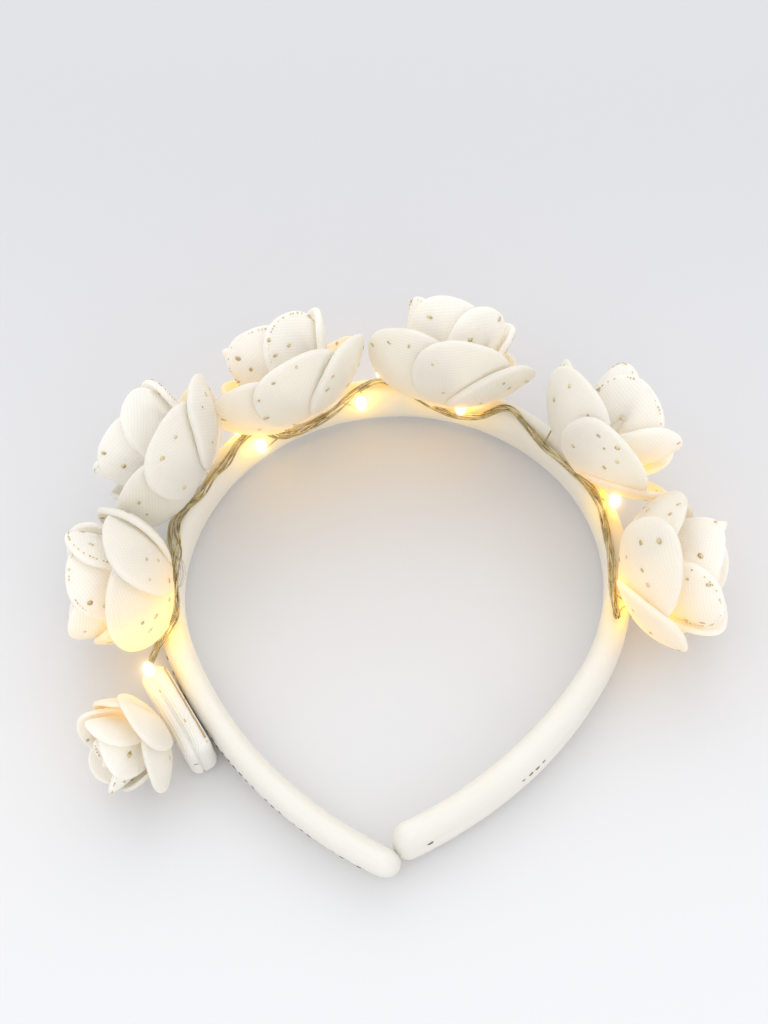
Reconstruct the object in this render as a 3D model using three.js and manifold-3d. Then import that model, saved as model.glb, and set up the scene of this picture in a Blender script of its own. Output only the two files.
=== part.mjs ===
// Light-up flower headband: a padded satin hoop with two tips that nearly meet, seven foam flowers
// on its crown, and a bundle of thin wires with small lights that starts in a flat battery case.
// Millimetres, +Z up. The hoop lies on its side, its crown towards +Y and its tips towards -Y.
import * as THREE from 'three';
import { mergeVertices } from 'three/addons/utils/BufferGeometryUtils.js';
import { RoundedBoxGeometry } from 'three/addons/geometries/RoundedBoxGeometry.js';
import Module from 'manifold-3d';

const wasm = await Module();
wasm.setup();

// Driving dimensions of the band
const HEAD_RADIUS = 56;
const BAND_THICKNESS = 7.4;
const BAND_WIDTH = 14;
const BAND_SQUARENESS = 0.8;
const BAND_SIDES = 12;
const CROWN_HALF_ANGLE = THREE.MathUtils.degToRad(117);
const LEG_RADIUS = 111;
const LEG_LENGTH = { left: 82, right: 69.5 };
const TIP_LIFT = { left: -2, right: -0.7 };
const TIP_TWIST = { left: -22, right: 4 };
const TIP_ROUND = 4;
const TIP_STEPS = 3;
const BAND_STEP = 10;

// Gap between pieces that are glued or tied together, and the distance at which corners are one
const GAP = 0.3;
const WELD = 1e-4;

// Petals are foam sheet, drawn as thin rounded plates: a ring of corners inside and one at the rim.
// A petal is widest past its middle, its base is narrower, and its outline is a little squared.
const FOAM_THICKNESS = 1.8;
const PLATE_RINGS = [0, 0.62, 1, 1, 0.62, 0];
const PLATE_FACES = [1, 1, 1, -1, -1, -1];
const WIDEST_AT = 0.57;
const BASE_NARROWING = 0.45;
const PETAL_SQUARENESS = 0.86;

// A row for each whorl: lengths in millimetres, angles in degrees above the flower's base plane.
// A petal wraps round the flower's axis at no less than wrapRadius, its two edges cup in by the
// depth that cupRadius gives, and twist lifts one edge over the next petal.
const WHORLS = {
  outer: { petals: 5, sides: 7, length: 31, halfWidth: 16, start: 2.5, height: 1.1,
    riseAtBase: 4, riseAtTip: 80, wrapRadius: 14, cupRadius: 120, twist: 0.12, turn: 0, hub: 4 },
  inner: { petals: 5, sides: 5, length: 25, halfWidth: 10, start: 3, height: 6.9,
    riseAtBase: 48, riseAtTip: 104, wrapRadius: 9, cupRadius: 70, twist: 0.16, turn: 36, hub: 3.6 },
  bud: { petals: 3, sides: 5, length: 15, halfWidth: 3.6, start: 1.4, height: 11.6,
    riseAtBase: 80, riseAtTip: 92, wrapRadius: 4, cupRadius: 60, twist: 0.2, turn: 20, hub: 1.9 },
};
// How far up from the band's middle line, along its base, a flower's hub is glued on
const SEAT_SLIDE = 3;
const HUB_HEIGHT = 2;
const HUB_SIDES = 8;

// A row for each flower: distance along the band from the crown's middle (positive to the left),
// size, turn about its own axis, lean up out of the hoop's plane, how many degrees its petals open
// out, how many the next flowers press its right and left petals up and the surface below its lower
// ones, how far its hub lies back over the band's inner edge and up on its lower petals, and whether
// it sits on the case
const FLOWERS = [
  { along: 135, size: 0.72, spin: -10, lean: 15, open: 0, pressRight: 6, pressLeft: 0, pressBelow: 26,
    back: 0, raised: 0, onCase: true },
  { along: 104, size: 1, spin: 0, lean: 12, open: 0, pressRight: 9.8, pressLeft: 0.4, pressBelow: 21.7,
    back: 5, raised: 12.3, onCase: false },
  { along: 71, size: 1, spin: 0, lean: 18, open: 4, pressRight: 9.3, pressLeft: 12.4, pressBelow: 21.2,
    back: 8, raised: 14.6, onCase: false },
  { along: 33, size: 1, spin: 0, lean: 28, open: 8, pressRight: 1.7, pressLeft: 11.4, pressBelow: 23.5,
    back: 12, raised: 17.4, onCase: false },
  { along: -10, size: 1, spin: 16, lean: 25, open: 4, pressRight: 0, pressLeft: 11.5, pressBelow: 25.4,
    back: 11, raised: 17.6, onCase: false },
  { along: -57, size: 1, spin: -25, lean: 20, open: 6, pressRight: 1.5, pressLeft: 6.6, pressBelow: 24.2,
    back: 9, raised: 15.4, onCase: false },
  { along: -91, size: 1, spin: -35, lean: 12, open: 2, pressRight: 0, pressLeft: 9, pressBelow: 23.8,
    back: 4, raised: 9.8, onCase: false },
];

// Flat battery case on the outside of the left leg
const CASE = { along: 136, length: 28, thickness: 7.5, width: 16, round: 2.5 };

// Wire bundle: a row for each bend, as the angle from the crown's middle (positive to the left) and
// the place around the band's section, from 0 on its outer face over 90 on top to 180 inside
const WIRE_RADIUS = 1.1;
const WIRE_OFF = 0.7;
const WIRE_STEPS = 56;
const WIRE_LEAD = 3;
const WIRE_ROUTE = [
  { angle: -103, around: 84 },
  { angle: -97, around: 100 },
  { angle: -91, around: 108 },
  { angle: -85, around: 110 },
  { angle: -77, around: 108 },
  { angle: -69.5, around: 100 },
  { angle: -64, around: 104 },
  { angle: -57.5, around: 116 },
  { angle: -51, around: 124 },
  { angle: -45, around: 128 },
  { angle: -38.5, around: 116 },
  { angle: -32, around: 98 },
  { angle: -28.5, around: 104 },
  { angle: -23, around: 150 },
  { angle: -15.5, around: 168 },
  { angle: -10.5, around: 162 },
  { angle: -6, around: 148 },
  { angle: 0, around: 120 },
  { angle: 5.5, around: 92 },
  { angle: 9, around: 92 },
  { angle: 14, around: 112 },
  { angle: 19, around: 140 },
  { angle: 24, around: 162 },
  { angle: 30.5, around: 172 },
  { angle: 38.5, around: 158 },
  { angle: 43, around: 122 },
  { angle: 46.5, around: 106 },
  { angle: 50.5, around: 108 },
  { angle: 57.5, around: 120 },
  { angle: 64, around: 118 },
  { angle: 70.5, around: 120 },
  { angle: 76, around: 98 },
  { angle: 80.5, around: 90 },
  { angle: 88, around: 104 },
  { angle: 94, around: 110 },
  { angle: 99.5, around: 112 },
  { angle: 104, around: 110 },
  { angle: 108, around: 100 },
  { angle: 111, around: 80 },
];

// Lights: a row for each, by the same two angles, and how far it stands off the band's surface
const LED_RADIUS = 1.7;
const LED_LENGTH = 4.4;
const LED_SIDES = 7;
const LEDS = [
  { angle: -107, around: 56, off: 0.5 },
  { angle: -69, around: 66, off: 0.5 },
  { angle: -16.5, around: 142, off: 0.4 },
  { angle: -8, around: 127, off: 0.4 },
  { angle: 6.5, around: 60, off: 0.4 },
  { angle: 13, around: 146, off: 0.4 },
  { angle: 38.4, around: 122, off: 0.4 },
  { angle: 47.5, around: 74, off: 0.4 },
  { angle: 45.5, around: 150, off: 0.4 },
  { angle: 100, around: 146, off: 0.5 },
  { angle: 115.5, around: 108, off: 0.5 },
];

// Finishes
const FINISH = {
  satin: { color: 0xf2efe6, roughness: 0.45, metalness: 0 },
  foam: { color: 0xf6f4ee, roughness: 0.8, metalness: 0 },
  wire: { color: 0xb59a5c, roughness: 0.35, metalness: 0.3 },
  lamp: { color: 0xffe2a0, roughness: 0.15, metalness: 0 },
  casing: { color: 0xefece2, roughness: 0.6, metalness: 0 },
};

const UP = new THREE.Vector3(0, 0, 1);
const bandRadius = HEAD_RADIUS + BAND_THICKNESS / 2;
const crownReach = bandRadius * CROWN_HALF_ANGLE;

/** A mesh with a name and one of the finishes. */
function piece(name, geometry, finish) {
  const mesh = new THREE.Mesh(geometry, new THREE.MeshStandardMaterial(FINISH[finish]));
  mesh.name = name;
  return mesh;
}

/** Point on the band's middle line, with the directions out of, up from and along the band there. */
function placeOnBand(along) {
  const side = Math.sign(along) || 1;
  const leg = side > 0 ? 'left' : 'right';
  const pastCrown = Math.max(Math.abs(along) - crownReach, 0);
  const turn = Math.min(Math.abs(along), crownReach) / bandRadius + pastCrown / LEG_RADIUS;
  const radial = new THREE.Vector3(-side * Math.sin(turn), Math.cos(turn), 0);
  const point = radial.clone().multiplyScalar(bandRadius);
  if (pastCrown > 0) {
    const crownEnd = new THREE.Vector3(-side * Math.sin(CROWN_HALF_ANGLE), Math.cos(CROWN_HALF_ANGLE), 0);
    point.copy(radial).multiplyScalar(LEG_RADIUS).addScaledVector(crownEnd, bandRadius - LEG_RADIUS);
  }
  const share = pastCrown / LEG_LENGTH[leg];
  point.z = TIP_LIFT[leg] * share ** 2;
  const twist = THREE.MathUtils.degToRad(TIP_TWIST[leg]) * share;
  const outward = radial.clone().multiplyScalar(Math.cos(twist)).addScaledVector(UP, Math.sin(twist));
  const upward = radial.multiplyScalar(-Math.sin(twist)).addScaledVector(UP, Math.cos(twist));
  return { point, outward, upward, travel: new THREE.Vector3().crossVectors(upward, outward) };
}

/** Section point of the band at an angle around it, scaled and then grown outwards. */
function sectionPoint(around, size = 1, growth = 0) {
  return {
    out: ((BAND_THICKNESS / 2) * size + growth) * squared(Math.cos(around)),
    up: ((BAND_WIDTH / 2) * size + growth) * squared(Math.sin(around)),
  };
}

/** Rows of the band from the right tip to the left one: place along it and size of the section. */
function bandRows() {
  const first = -crownReach - LEG_LENGTH.right;
  const last = crownReach + LEG_LENGTH.left;
  const rounding = Array.from({ length: TIP_STEPS }, (_, step) => (step / TIP_STEPS) * (Math.PI / 2));
  const straight = Math.round((last - first - 2 * TIP_ROUND) / BAND_STEP);
  const rows = rounding.map((t) => ({ along: first + TIP_ROUND * (1 - Math.cos(t)), size: Math.sin(t) }));
  for (let step = 0; step <= straight; step += 1) {
    const share = step / straight;
    const along = THREE.MathUtils.lerp(first + TIP_ROUND, last - TIP_ROUND, share);
    rows.push({ along, size: 1 });
  }
  rounding.reverse();
  rows.push(...rounding.map((t) => ({ along: last - TIP_ROUND * (1 - Math.cos(t)), size: Math.sin(t) })));
  return rows;
}

/** A cosine or sine pulled towards the corners of its square, for a section with flatter sides. */
function squared(value, power = BAND_SQUARENESS) {
  return Math.sign(value) * Math.abs(value) ** power;
}

/** The hoop: a long ball bent along the band's middle line, so that both tips are round. */
function bandGeometry() {
  const rows = bandRows();
  const geometry = new THREE.SphereGeometry(1, BAND_SIDES, rows.length - 1);
  const corners = geometry.getAttribute('position');
  for (let index = 0; index < corners.count; index += 1) {
    const row = rows[Math.floor(index / (BAND_SIDES + 1))];
    const around = (2 * Math.PI * (index % (BAND_SIDES + 1))) / BAND_SIDES;
    const { point, outward, upward } = placeOnBand(row.along);
    const { out, up } = sectionPoint(around, row.size);
    point.addScaledVector(outward, out).addScaledVector(upward, up);
    corners.setXYZ(index, point.x, point.y, point.z);
  }
  return geometry;
}

/** One petal along +X of its flower, whose axis is +Z: a round plate, bent up, a corner at its base. */
function petalGeometry(whorl, press, open) {
  const geometry = new THREE.SphereGeometry(1, whorl.sides, PLATE_RINGS.length - 1);
  const corners = geometry.getAttribute('position');
  const riseAtBase = THREE.MathUtils.degToRad(whorl.riseAtBase + press);
  const bend = THREE.MathUtils.degToRad(whorl.riseAtTip - whorl.riseAtBase - open) / whorl.length;
  for (let index = 0; index < corners.count; index += 1) {
    const row = Math.floor(index / (whorl.sides + 1));
    const around = (2 * Math.PI * ((index % (whorl.sides + 1)) + 0.5)) / whorl.sides;
    const forward = PLATE_RINGS[row] * squared(Math.cos(around), PETAL_SQUARENESS);
    const along = whorl.length * (WIDEST_AT + (forward > 0 ? 1 - WIDEST_AT : WIDEST_AT) * forward);
    const narrowing = 1 - BASE_NARROWING * ((1 - Math.cos(around)) / 2) ** 2;
    const width = whorl.halfWidth * narrowing;
    const across = width * PLATE_RINGS[row] * squared(Math.sin(around), PETAL_SQUARENESS);
    const rise = riseAtBase + bend * along;
    const radius = whorl.start + (Math.sin(rise) - Math.sin(riseAtBase)) / bend;
    const height = whorl.height - (Math.cos(rise) - Math.cos(riseAtBase)) / bend;
    const inward = across * (whorl.twist + across / whorl.cupRadius)
      + (PLATE_FACES[row] * FOAM_THICKNESS) / 2;
    const wrap = across / Math.max(radius, whorl.wrapRadius);
    const reach = radius - inward * Math.sin(rise);
    corners.setXYZ(
      index,
      reach * Math.cos(wrap),
      reach * Math.sin(wrap),
      height + inward * Math.cos(rise),
    );
  }
  return geometry;
}

/** A closed geometry as a solid that can be joined. */
function solid(geometry) {
  const bare = geometry.clone();
  bare.deleteAttribute('normal');
  bare.deleteAttribute('uv');
  const merged = mergeVertices(bare, WELD);
  return new wasm.Manifold(new wasm.Mesh({
    numProp: 3,
    vertProperties: new Float32Array(merged.getAttribute('position').array),
    triVerts: new Uint32Array(merged.index.array),
  }));
}

/** The surface of a joined solid as a geometry. */
function surface(joined) {
  const mesh = joined.getMesh();
  const geometry = new THREE.BufferGeometry();
  geometry.setAttribute('position', new THREE.BufferAttribute(new Float32Array(mesh.vertProperties), 3));
  geometry.setIndex(new THREE.BufferAttribute(new Uint32Array(mesh.triVerts), 1));
  geometry.computeVertexNormals();
  return geometry;
}

/** How far the next flower and the surface below press up the petal at an angle from the front. */
function pressAt(angle, { pressRight, pressLeft, pressBelow }) {
  const sideways = Math.sin(angle);
  const below = pressBelow * Math.max(-Math.cos(angle), 0);
  return below + (sideways > 0 ? pressRight * sideways : -pressLeft * sideways);
}

/** A ring of petals joined to its round hub, its first petal turned from the front by a spin. */
function whorlGeometry(whorl, flowerRow) {
  const hub = new THREE.CylinderGeometry(whorl.hub, whorl.hub, HUB_HEIGHT, HUB_SIDES);
  hub.rotateX(Math.PI / 2);
  hub.translate(0, 0, whorl.height);
  let joined = solid(hub);
  const first = THREE.MathUtils.degToRad(whorl.turn + flowerRow.spin);
  for (let count = 0; count < whorl.petals; count += 1) {
    const angle = first + (2 * Math.PI * count) / whorl.petals;
    const isOuter = whorl === WHORLS.outer;
    const press = isOuter ? pressAt(angle, flowerRow) : 0;
    const petal = petalGeometry(whorl, press, isOuter ? flowerRow.open : 0);
    joined = joined.add(solid(petal.rotateZ(angle)));
  }
  return surface(joined);
}

/** Where a flower with a lean touches the band's section, as distances out and up. */
function seatOnBand(lean) {
  const sides = Array.from({ length: BAND_SIDES }, (_, side) => (2 * Math.PI * side) / BAND_SIDES);
  const corners = sides.map((around) => sectionPoint(around));
  const reach = ({ out, up }) => out * Math.cos(lean) + up * Math.sin(lean);
  const highest = corners.reduce((best, corner) => (reach(corner) > reach(best) ? corner : best));
  const slide = SEAT_SLIDE - highest.up * Math.cos(lean) + highest.out * Math.sin(lean);
  return { out: highest.out - slide * Math.sin(lean), up: highest.up + slide * Math.cos(lean) };
}

/** Where a flower with a lean touches the rounded upper edge of the battery case. */
function seatOnCase(lean) {
  return {
    out: BAND_THICKNESS / 2 + 3 * GAP + CASE.thickness - CASE.round * (1 - Math.cos(lean)),
    up: CASE.width / 2 - CASE.round * (1 - Math.sin(lean)),
  };
}

/** One flower of three whorls, its hub seated on the band or on the battery case. */
function flower(row, number) {
  const { point, outward, upward } = placeOnBand(row.along);
  const lean = THREE.MathUtils.degToRad(row.lean);
  const axis = outward.clone().multiplyScalar(Math.cos(lean)).addScaledVector(upward, Math.sin(lean));
  const front = outward.clone().multiplyScalar(-Math.sin(lean)).addScaledVector(upward, Math.cos(lean));
  const side = new THREE.Vector3().crossVectors(axis, front);
  const { out, up } = row.onCase ? seatOnCase(lean) : seatOnBand(lean);
  const group = new THREE.Group();
  group.quaternion.setFromRotationMatrix(new THREE.Matrix4().makeBasis(front, side, axis));
  group.position.copy(point).addScaledVector(outward, out).addScaledVector(upward, up);
  group.position.addScaledVector(axis, 2 * GAP - row.back).addScaledVector(front, row.raised);
  for (const [name, whorl] of Object.entries(WHORLS)) {
    const geometry = whorlGeometry(whorl, row).scale(row.size, row.size, row.size);
    group.add(piece(`flower_${number}_${name}`, geometry, 'foam'));
  }
  return group;
}

/** A point over the band's surface, by its angle along the crown, the place around and the gap. */
function overBand({ angle, around }, off) {
  const { point, outward, upward } = placeOnBand(THREE.MathUtils.degToRad(angle) * bandRadius);
  const { out, up } = sectionPoint(THREE.MathUtils.degToRad(around), 1, off);
  return point.addScaledVector(outward, out).addScaledVector(upward, up);
}

/** The bundle of wires as one round strand along its route, ending at the battery case. */
function wireGeometry() {
  const { point, outward, travel } = placeOnBand(CASE.along);
  const end = point.addScaledVector(outward, (BAND_THICKNESS + CASE.thickness) / 2 + GAP);
  end.addScaledVector(travel, -CASE.length / 2 - GAP);
  const lead = end.clone().addScaledVector(travel, -WIRE_LEAD);
  const route = WIRE_ROUTE.map((row) => overBand(row, WIRE_RADIUS + WIRE_OFF));
  const round = new THREE.Shape().absarc(0, 0, WIRE_RADIUS, 0, 2 * Math.PI);
  const path = new THREE.CatmullRomCurve3([...route, lead, end]);
  return new THREE.ExtrudeGeometry(round, { steps: WIRE_STEPS, curveSegments: 4, extrudePath: path });
}

/** A clear drop with a round nose, standing along +Z. */
function ledGeometry() {
  const profile = [
    new THREE.Vector2(0, -LED_LENGTH / 2),
    new THREE.Vector2(LED_RADIUS, -LED_LENGTH / 6),
    new THREE.Vector2(0.8 * LED_RADIUS, LED_LENGTH / 4),
    new THREE.Vector2(0, LED_LENGTH / 2),
  ];
  return new THREE.LatheGeometry(profile, LED_SIDES).rotateX(Math.PI / 2);
}

/** The flat case, its length along the band and its thickness outwards. */
function batteryCase() {
  const { point, outward, travel } = placeOnBand(CASE.along);
  const box = new RoundedBoxGeometry(CASE.length, CASE.width, CASE.thickness, 1, CASE.round);
  const mesh = piece('battery_case', box, 'casing');
  const across = new THREE.Vector3().crossVectors(outward, travel);
  mesh.quaternion.setFromRotationMatrix(new THREE.Matrix4().makeBasis(travel, across, outward));
  mesh.position.copy(point).addScaledVector(outward, (BAND_THICKNESS + CASE.thickness) / 2 + GAP);
  return mesh;
}

const headband = new THREE.Group();
headband.add(piece('band', bandGeometry(), 'satin'));
FLOWERS.forEach((row, index) => headband.add(flower(row, index + 1)));
headband.add(piece('light_wire', wireGeometry(), 'wire'));
LEDS.forEach((row, index) => {
  const led = piece(`led_${String(index + 1).padStart(2, '0')}`, ledGeometry(), 'lamp');
  led.position.copy(overBand(row, LED_RADIUS + row.off));
  headband.add(led);
});
headband.add(batteryCase());

// The origin is under the middle of the lying headband, on the surface it rests on
const extent = new THREE.Box3().setFromObject(headband, true);
const middle = extent.getCenter(new THREE.Vector3());
headband.position.set(-middle.x, -middle.y, -extent.min.z);

export default headband;
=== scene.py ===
"""Looks of the light-up flower headband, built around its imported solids.

A padded satin hoop carries seven foam flowers, a twisted bundle of coated wires with small warm
lights, and a flat battery case. Shapes are worked out in millimetres from the middle of the hoop's
crown arc, and put into the frame, in metres, as each mesh is made.
"""

from __future__ import annotations

import logging
import math
import random
from dataclasses import dataclass, field
from enum import Enum
from typing import Any, Iterable

import bpy
import numpy as np
from mathutils import Matrix, Vector

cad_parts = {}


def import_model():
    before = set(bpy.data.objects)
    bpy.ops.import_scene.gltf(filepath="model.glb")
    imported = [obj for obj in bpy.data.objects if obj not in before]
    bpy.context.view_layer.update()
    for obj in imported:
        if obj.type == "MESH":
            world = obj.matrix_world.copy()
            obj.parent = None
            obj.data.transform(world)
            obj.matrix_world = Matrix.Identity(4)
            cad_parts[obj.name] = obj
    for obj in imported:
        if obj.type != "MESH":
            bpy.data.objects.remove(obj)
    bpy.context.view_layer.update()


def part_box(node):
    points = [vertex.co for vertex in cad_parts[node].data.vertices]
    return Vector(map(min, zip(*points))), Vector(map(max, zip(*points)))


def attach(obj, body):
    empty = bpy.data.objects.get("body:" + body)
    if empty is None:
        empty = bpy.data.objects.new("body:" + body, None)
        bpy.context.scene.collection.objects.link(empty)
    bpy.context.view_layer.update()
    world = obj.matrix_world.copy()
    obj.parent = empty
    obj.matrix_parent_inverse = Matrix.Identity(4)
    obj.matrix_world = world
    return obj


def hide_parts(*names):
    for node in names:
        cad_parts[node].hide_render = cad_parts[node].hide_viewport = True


log = logging.getLogger("headband")

MM = 0.001
UV_MM = 10.0
TURN = 2 * math.pi
BODY = "root"
PHOTO_PX = (768, 1024)

Points = np.ndarray

UP: Points = np.array([0.0, 0.0, 1.0])


class Whorl(Enum):
    """The three rings of petals in a flower, from the outside in."""

    OUTER = "outer"
    INNER = "inner"
    BUD = "bud"


class Side(Enum):
    """The two legs of the hoop, as seen from above with the crown at the far side."""

    LEFT = "left"
    RIGHT = "right"


def unit(vector: Points) -> Points:
    """The vector at length one."""
    return vector / np.linalg.norm(vector)


# Node trees


class Signal:
    """A socket of a node tree, with arithmetic that adds Math nodes."""

    def __init__(self, board: Board, socket: bpy.types.NodeSocket) -> None:
        """Keeps the socket and the board that it is on."""
        self.board = board
        self.socket = socket

    def output(self, name: str) -> Signal:
        """Another output of the same node."""
        return Signal(self.board, self.socket.node.outputs[name])

    def math(self, operation: str, *values: Any) -> Signal:
        """A Math node on this signal and the values, in order."""
        sockets = dict(enumerate(values))
        return self.board.add("ShaderNodeMath", {"operation": operation}, sockets)

    def __add__(self, other: Any) -> Signal:
        """Sum of two signals or a signal and a number."""
        return self.math("ADD", self, other)

    def __sub__(self, other: Any) -> Signal:
        """This signal less the other value."""
        return self.math("SUBTRACT", self, other)

    def __rsub__(self, other: Any) -> Signal:
        """The other value less this signal."""
        return self.math("SUBTRACT", other, self)

    def __mul__(self, other: Any) -> Signal:
        """Product of two signals or a signal and a number."""
        return self.math("MULTIPLY", self, other)

    def __pow__(self, other: Any) -> Signal:
        """This signal to a power."""
        return self.math("POWER", self, other)

    __radd__ = __add__
    __rmul__ = __mul__

    def sine(self) -> Signal:
        """Sine of this signal."""
        return self.math("SINE", self)


class Board:
    """A node tree that is drawn from code."""

    def __init__(self, tree: bpy.types.NodeTree) -> None:
        """Keeps the tree."""
        self.tree = tree

    def add(
        self,
        kind: str,
        settings: dict[str, Any] | None = None,
        sockets: dict[str | int, Any] | None = None,
        output: str | int = 0,
    ) -> Signal:
        """Adds a node.

        Args:
            kind: The node's type.
            settings: Its properties, which are set first.
            sockets: Values or signals for its inputs, by name or number.
            output: The output that is handed back.

        Returns:
            The chosen output as a signal, or the node's first input where it has no output.
        """
        node = self.tree.nodes.new(kind)
        for name, value in (settings or {}).items():
            setattr(node, name, value)
        for name, value in (sockets or {}).items():
            if isinstance(value, Signal):
                self.tree.links.new(value.socket, node.inputs[name])
            else:
                node.inputs[name].default_value = value
        return Signal(self, node.outputs[output] if node.outputs else node.inputs[0])

    def mix(self, share: Any, first: Any, second: Any) -> Signal:
        """Colour between two colours, by a share from 0 to 1."""
        sockets = {0: share, 6: first, 7: second}
        return self.add("ShaderNodeMix", {"data_type": "RGBA"}, sockets, output=2)

    def between(
        self, value: Any, low: float, high: float, start: float = 0.0, end: float = 1.0
    ) -> Signal:
        """Smooth step of a value, from start at low to end at high."""
        sockets = {0: value, 1: low, 2: high, 3: start, 4: end}
        return self.add("ShaderNodeMapRange", {"interpolation_type": "SMOOTHSTEP"}, sockets)

    def where(self, kind: str = "Object") -> Signal:
        """Coordinates on the piece: its place, or UV for its flat sheet."""
        return self.add("ShaderNodeTexCoord", output=kind)

    def stored(self, name: str) -> Signal:
        """A number that the mesh keeps for each corner."""
        return self.add("ShaderNodeAttribute", {"attribute_name": name}, output="Fac")

    def parts(self, vector: Signal) -> Signal:
        """The X, Y and Z of a vector, as outputs of one node."""
        return self.add("ShaderNodeSeparateXYZ", sockets={0: vector})


Colour = tuple[float, float, float, float]

# Painted glow of the lights: a warm base colour and a warm emission that stand in for the light the
# lamps throw on the pieces near them
WARM_PAINT: Colour = (1.0, 0.80, 0.38, 1.0)
WARM_LIGHT: Colour = (1.0, 0.58, 0.10, 1.0)


@dataclass(frozen=True)
class Finish:
    """A material with a principled shader.

    Attributes:
        name: The material's name.
        colour: Its main colour.
        roughness: Its main roughness.
    """

    name: str
    colour: Colour
    roughness: float

    def material(self) -> bpy.types.Material:
        """The material, made once for each name.

        Returns:
            The material, with all its nodes.
        """
        known = bpy.data.materials.get(self.name)
        if known is not None:
            return known
        made = bpy.data.materials.new(self.name)
        made.use_nodes = True
        board = Board(made.node_tree)
        made.node_tree.nodes.clear()
        sockets = {"Base Color": self.colour, "Roughness": self.roughness}
        sockets.update(self.sockets(board))
        shader = board.add("ShaderNodeBsdfPrincipled", sockets=sockets)
        board.add("ShaderNodeOutputMaterial", sockets={"Surface": self.surface(board, shader)})
        return made

    def sockets(self, board: Board) -> dict[str, Any]:
        """The shader's other sockets; each finish draws its own."""
        return {}

    def surface(self, board: Board, shader: Signal) -> Signal:
        """What the material shows; a finish may add to the principled shader."""
        return shader

    @staticmethod
    def bump(board: Board, height: Signal, strength: float, depth_mm: float) -> Signal:
        """Normals of a height from 0 to 1 that is depth_mm deep."""
        sockets = {"Height": height, "Strength": strength, "Distance": depth_mm * MM}
        return board.add("ShaderNodeBump", sockets=sockets)

    @staticmethod
    def noise(board: Board, vector: Signal, scale: float, detail: float = 2.0) -> Signal:
        """Soft noise from 0 to 1."""
        sockets = {"Vector": vector, "Scale": scale, "Detail": detail}
        return board.add("ShaderNodeTexNoise", sockets=sockets)

    def shaded(self, share: float) -> Colour:
        """The main colour, darker or paler by a share."""
        return tuple(min(1.0, share * part) for part in self.colour[:3]) + (1.0,)


@dataclass(frozen=True)
class GlowPaintedFinish(Finish):
    """A finish with the glow of the lights beside it painted on, as warm colour and emission.

    Attributes:
        focus: How tightly the painted glow keeps to the lights.
        strength: How strong the painted glow is, as emission.
        painted_through_glow: A faint constant painted glow, as a share of the strength, that stands
            in for daylight shining through everywhere.
    """

    focus: float = 5.5
    strength: float = 0.25
    painted_through_glow: float = 0.0

    def lit(self, board: Board, colour: Any) -> dict[str, Any]:
        """The colour with the lights' glow painted on: warmed, and given warm emission, where a
        light is near.

        Args:
            board: The material's tree.
            colour: The colour away from the lights.

        Returns:
            The shader's sockets for them.
        """
        # Painted light: near the lamps the stored glow warms the base colour and adds warm emission
        glow = board.stored("glow") ** self.focus
        # A faint constant emission everywhere, painted light standing in for daylight shining
        # through
        painted_daylight = (self.painted_through_glow, self.painted_through_glow, 0.97 * self.painted_through_glow, 1.0)
        return {
            "Base Color": board.mix(glow, colour, WARM_PAINT),
            "Emission Color": board.mix(glow, painted_daylight, WARM_LIGHT),
            "Emission Strength": self.strength,
        }


@dataclass(frozen=True)
class FoamFinish(GlowPaintedFinish):
    """White foam sheet with fine pressed ribs, smooth along its rim, that lets light through.

    Attributes:
        rib_mm: Distance between ribs.
        painted_trough_shade: A darker colour between the ribs, painted shade in the grooves.
        through: Colour of the light from behind.
        let_through: Share of the light from behind.
        rim: Shares of the way to the rim between which the ribs fade out.
    """

    focus: float = 2.4
    strength: float = 0.52
    rib_mm: float = 0.85
    painted_trough_shade: Colour = (0.85, 0.83, 0.76, 1.0)
    through: Colour = (1.0, 0.95, 0.86, 1.0)
    let_through: float = 0.32
    rim: tuple[float, float] = (0.86, 0.95)

    def sockets(self, board: Board) -> dict[str, Any]:
        """Ribs one way, a fainter grain across them, a smooth rim, and painted shade between the
        ribs.

        Args:
            board: The material's tree.

        Returns:
            The shader's sockets.
        """
        sheet = board.where("UV")
        flat = board.parts(sheet)
        wander = self.noise(board, sheet, 1.3) * 0.05
        waves = TURN * UV_MM / self.rib_mm
        rib = ((flat.output("Y") + wander) * waves).sine()
        grain = ((flat.output("X") + wander) * waves).sine()
        inside = board.between(board.stored("reach"), *self.rim, 1.0, 0.0)
        height = (rib * 0.3 + grain * 0.17) * inside + 0.5
        patch = self.noise(board, sheet, 0.9)
        # Painted shade: the grooves between the ribs take the darker colour, broken up by random
        # patches
        trough_shade_and_patch = board.between(height + patch * 0.12, 0.2, 0.75)
        return {
            **self.lit(board, board.mix(trough_shade_and_patch, self.painted_trough_shade, self.colour)),
            "Normal": self.bump(board, height, 0.35, 0.16),
            "Roughness": patch * 0.16 + (self.roughness - 0.08),
            "Subsurface Weight": 0.6,
            "Subsurface Radius": (1.0, 0.92, 0.78),
            "Subsurface Scale": 0.003,
            "Specular IOR Level": 0.3,
        }

    def surface(self, board: Board, shader: Signal) -> Signal:
        """The foam's own surface with some of the light from behind it."""
        behind = board.add("ShaderNodeBsdfTranslucent", sockets={"Color": self.through})
        return board.add("ShaderNodeMixShader", sockets={0: self.let_through, 1: shader, 2: behind})


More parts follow.
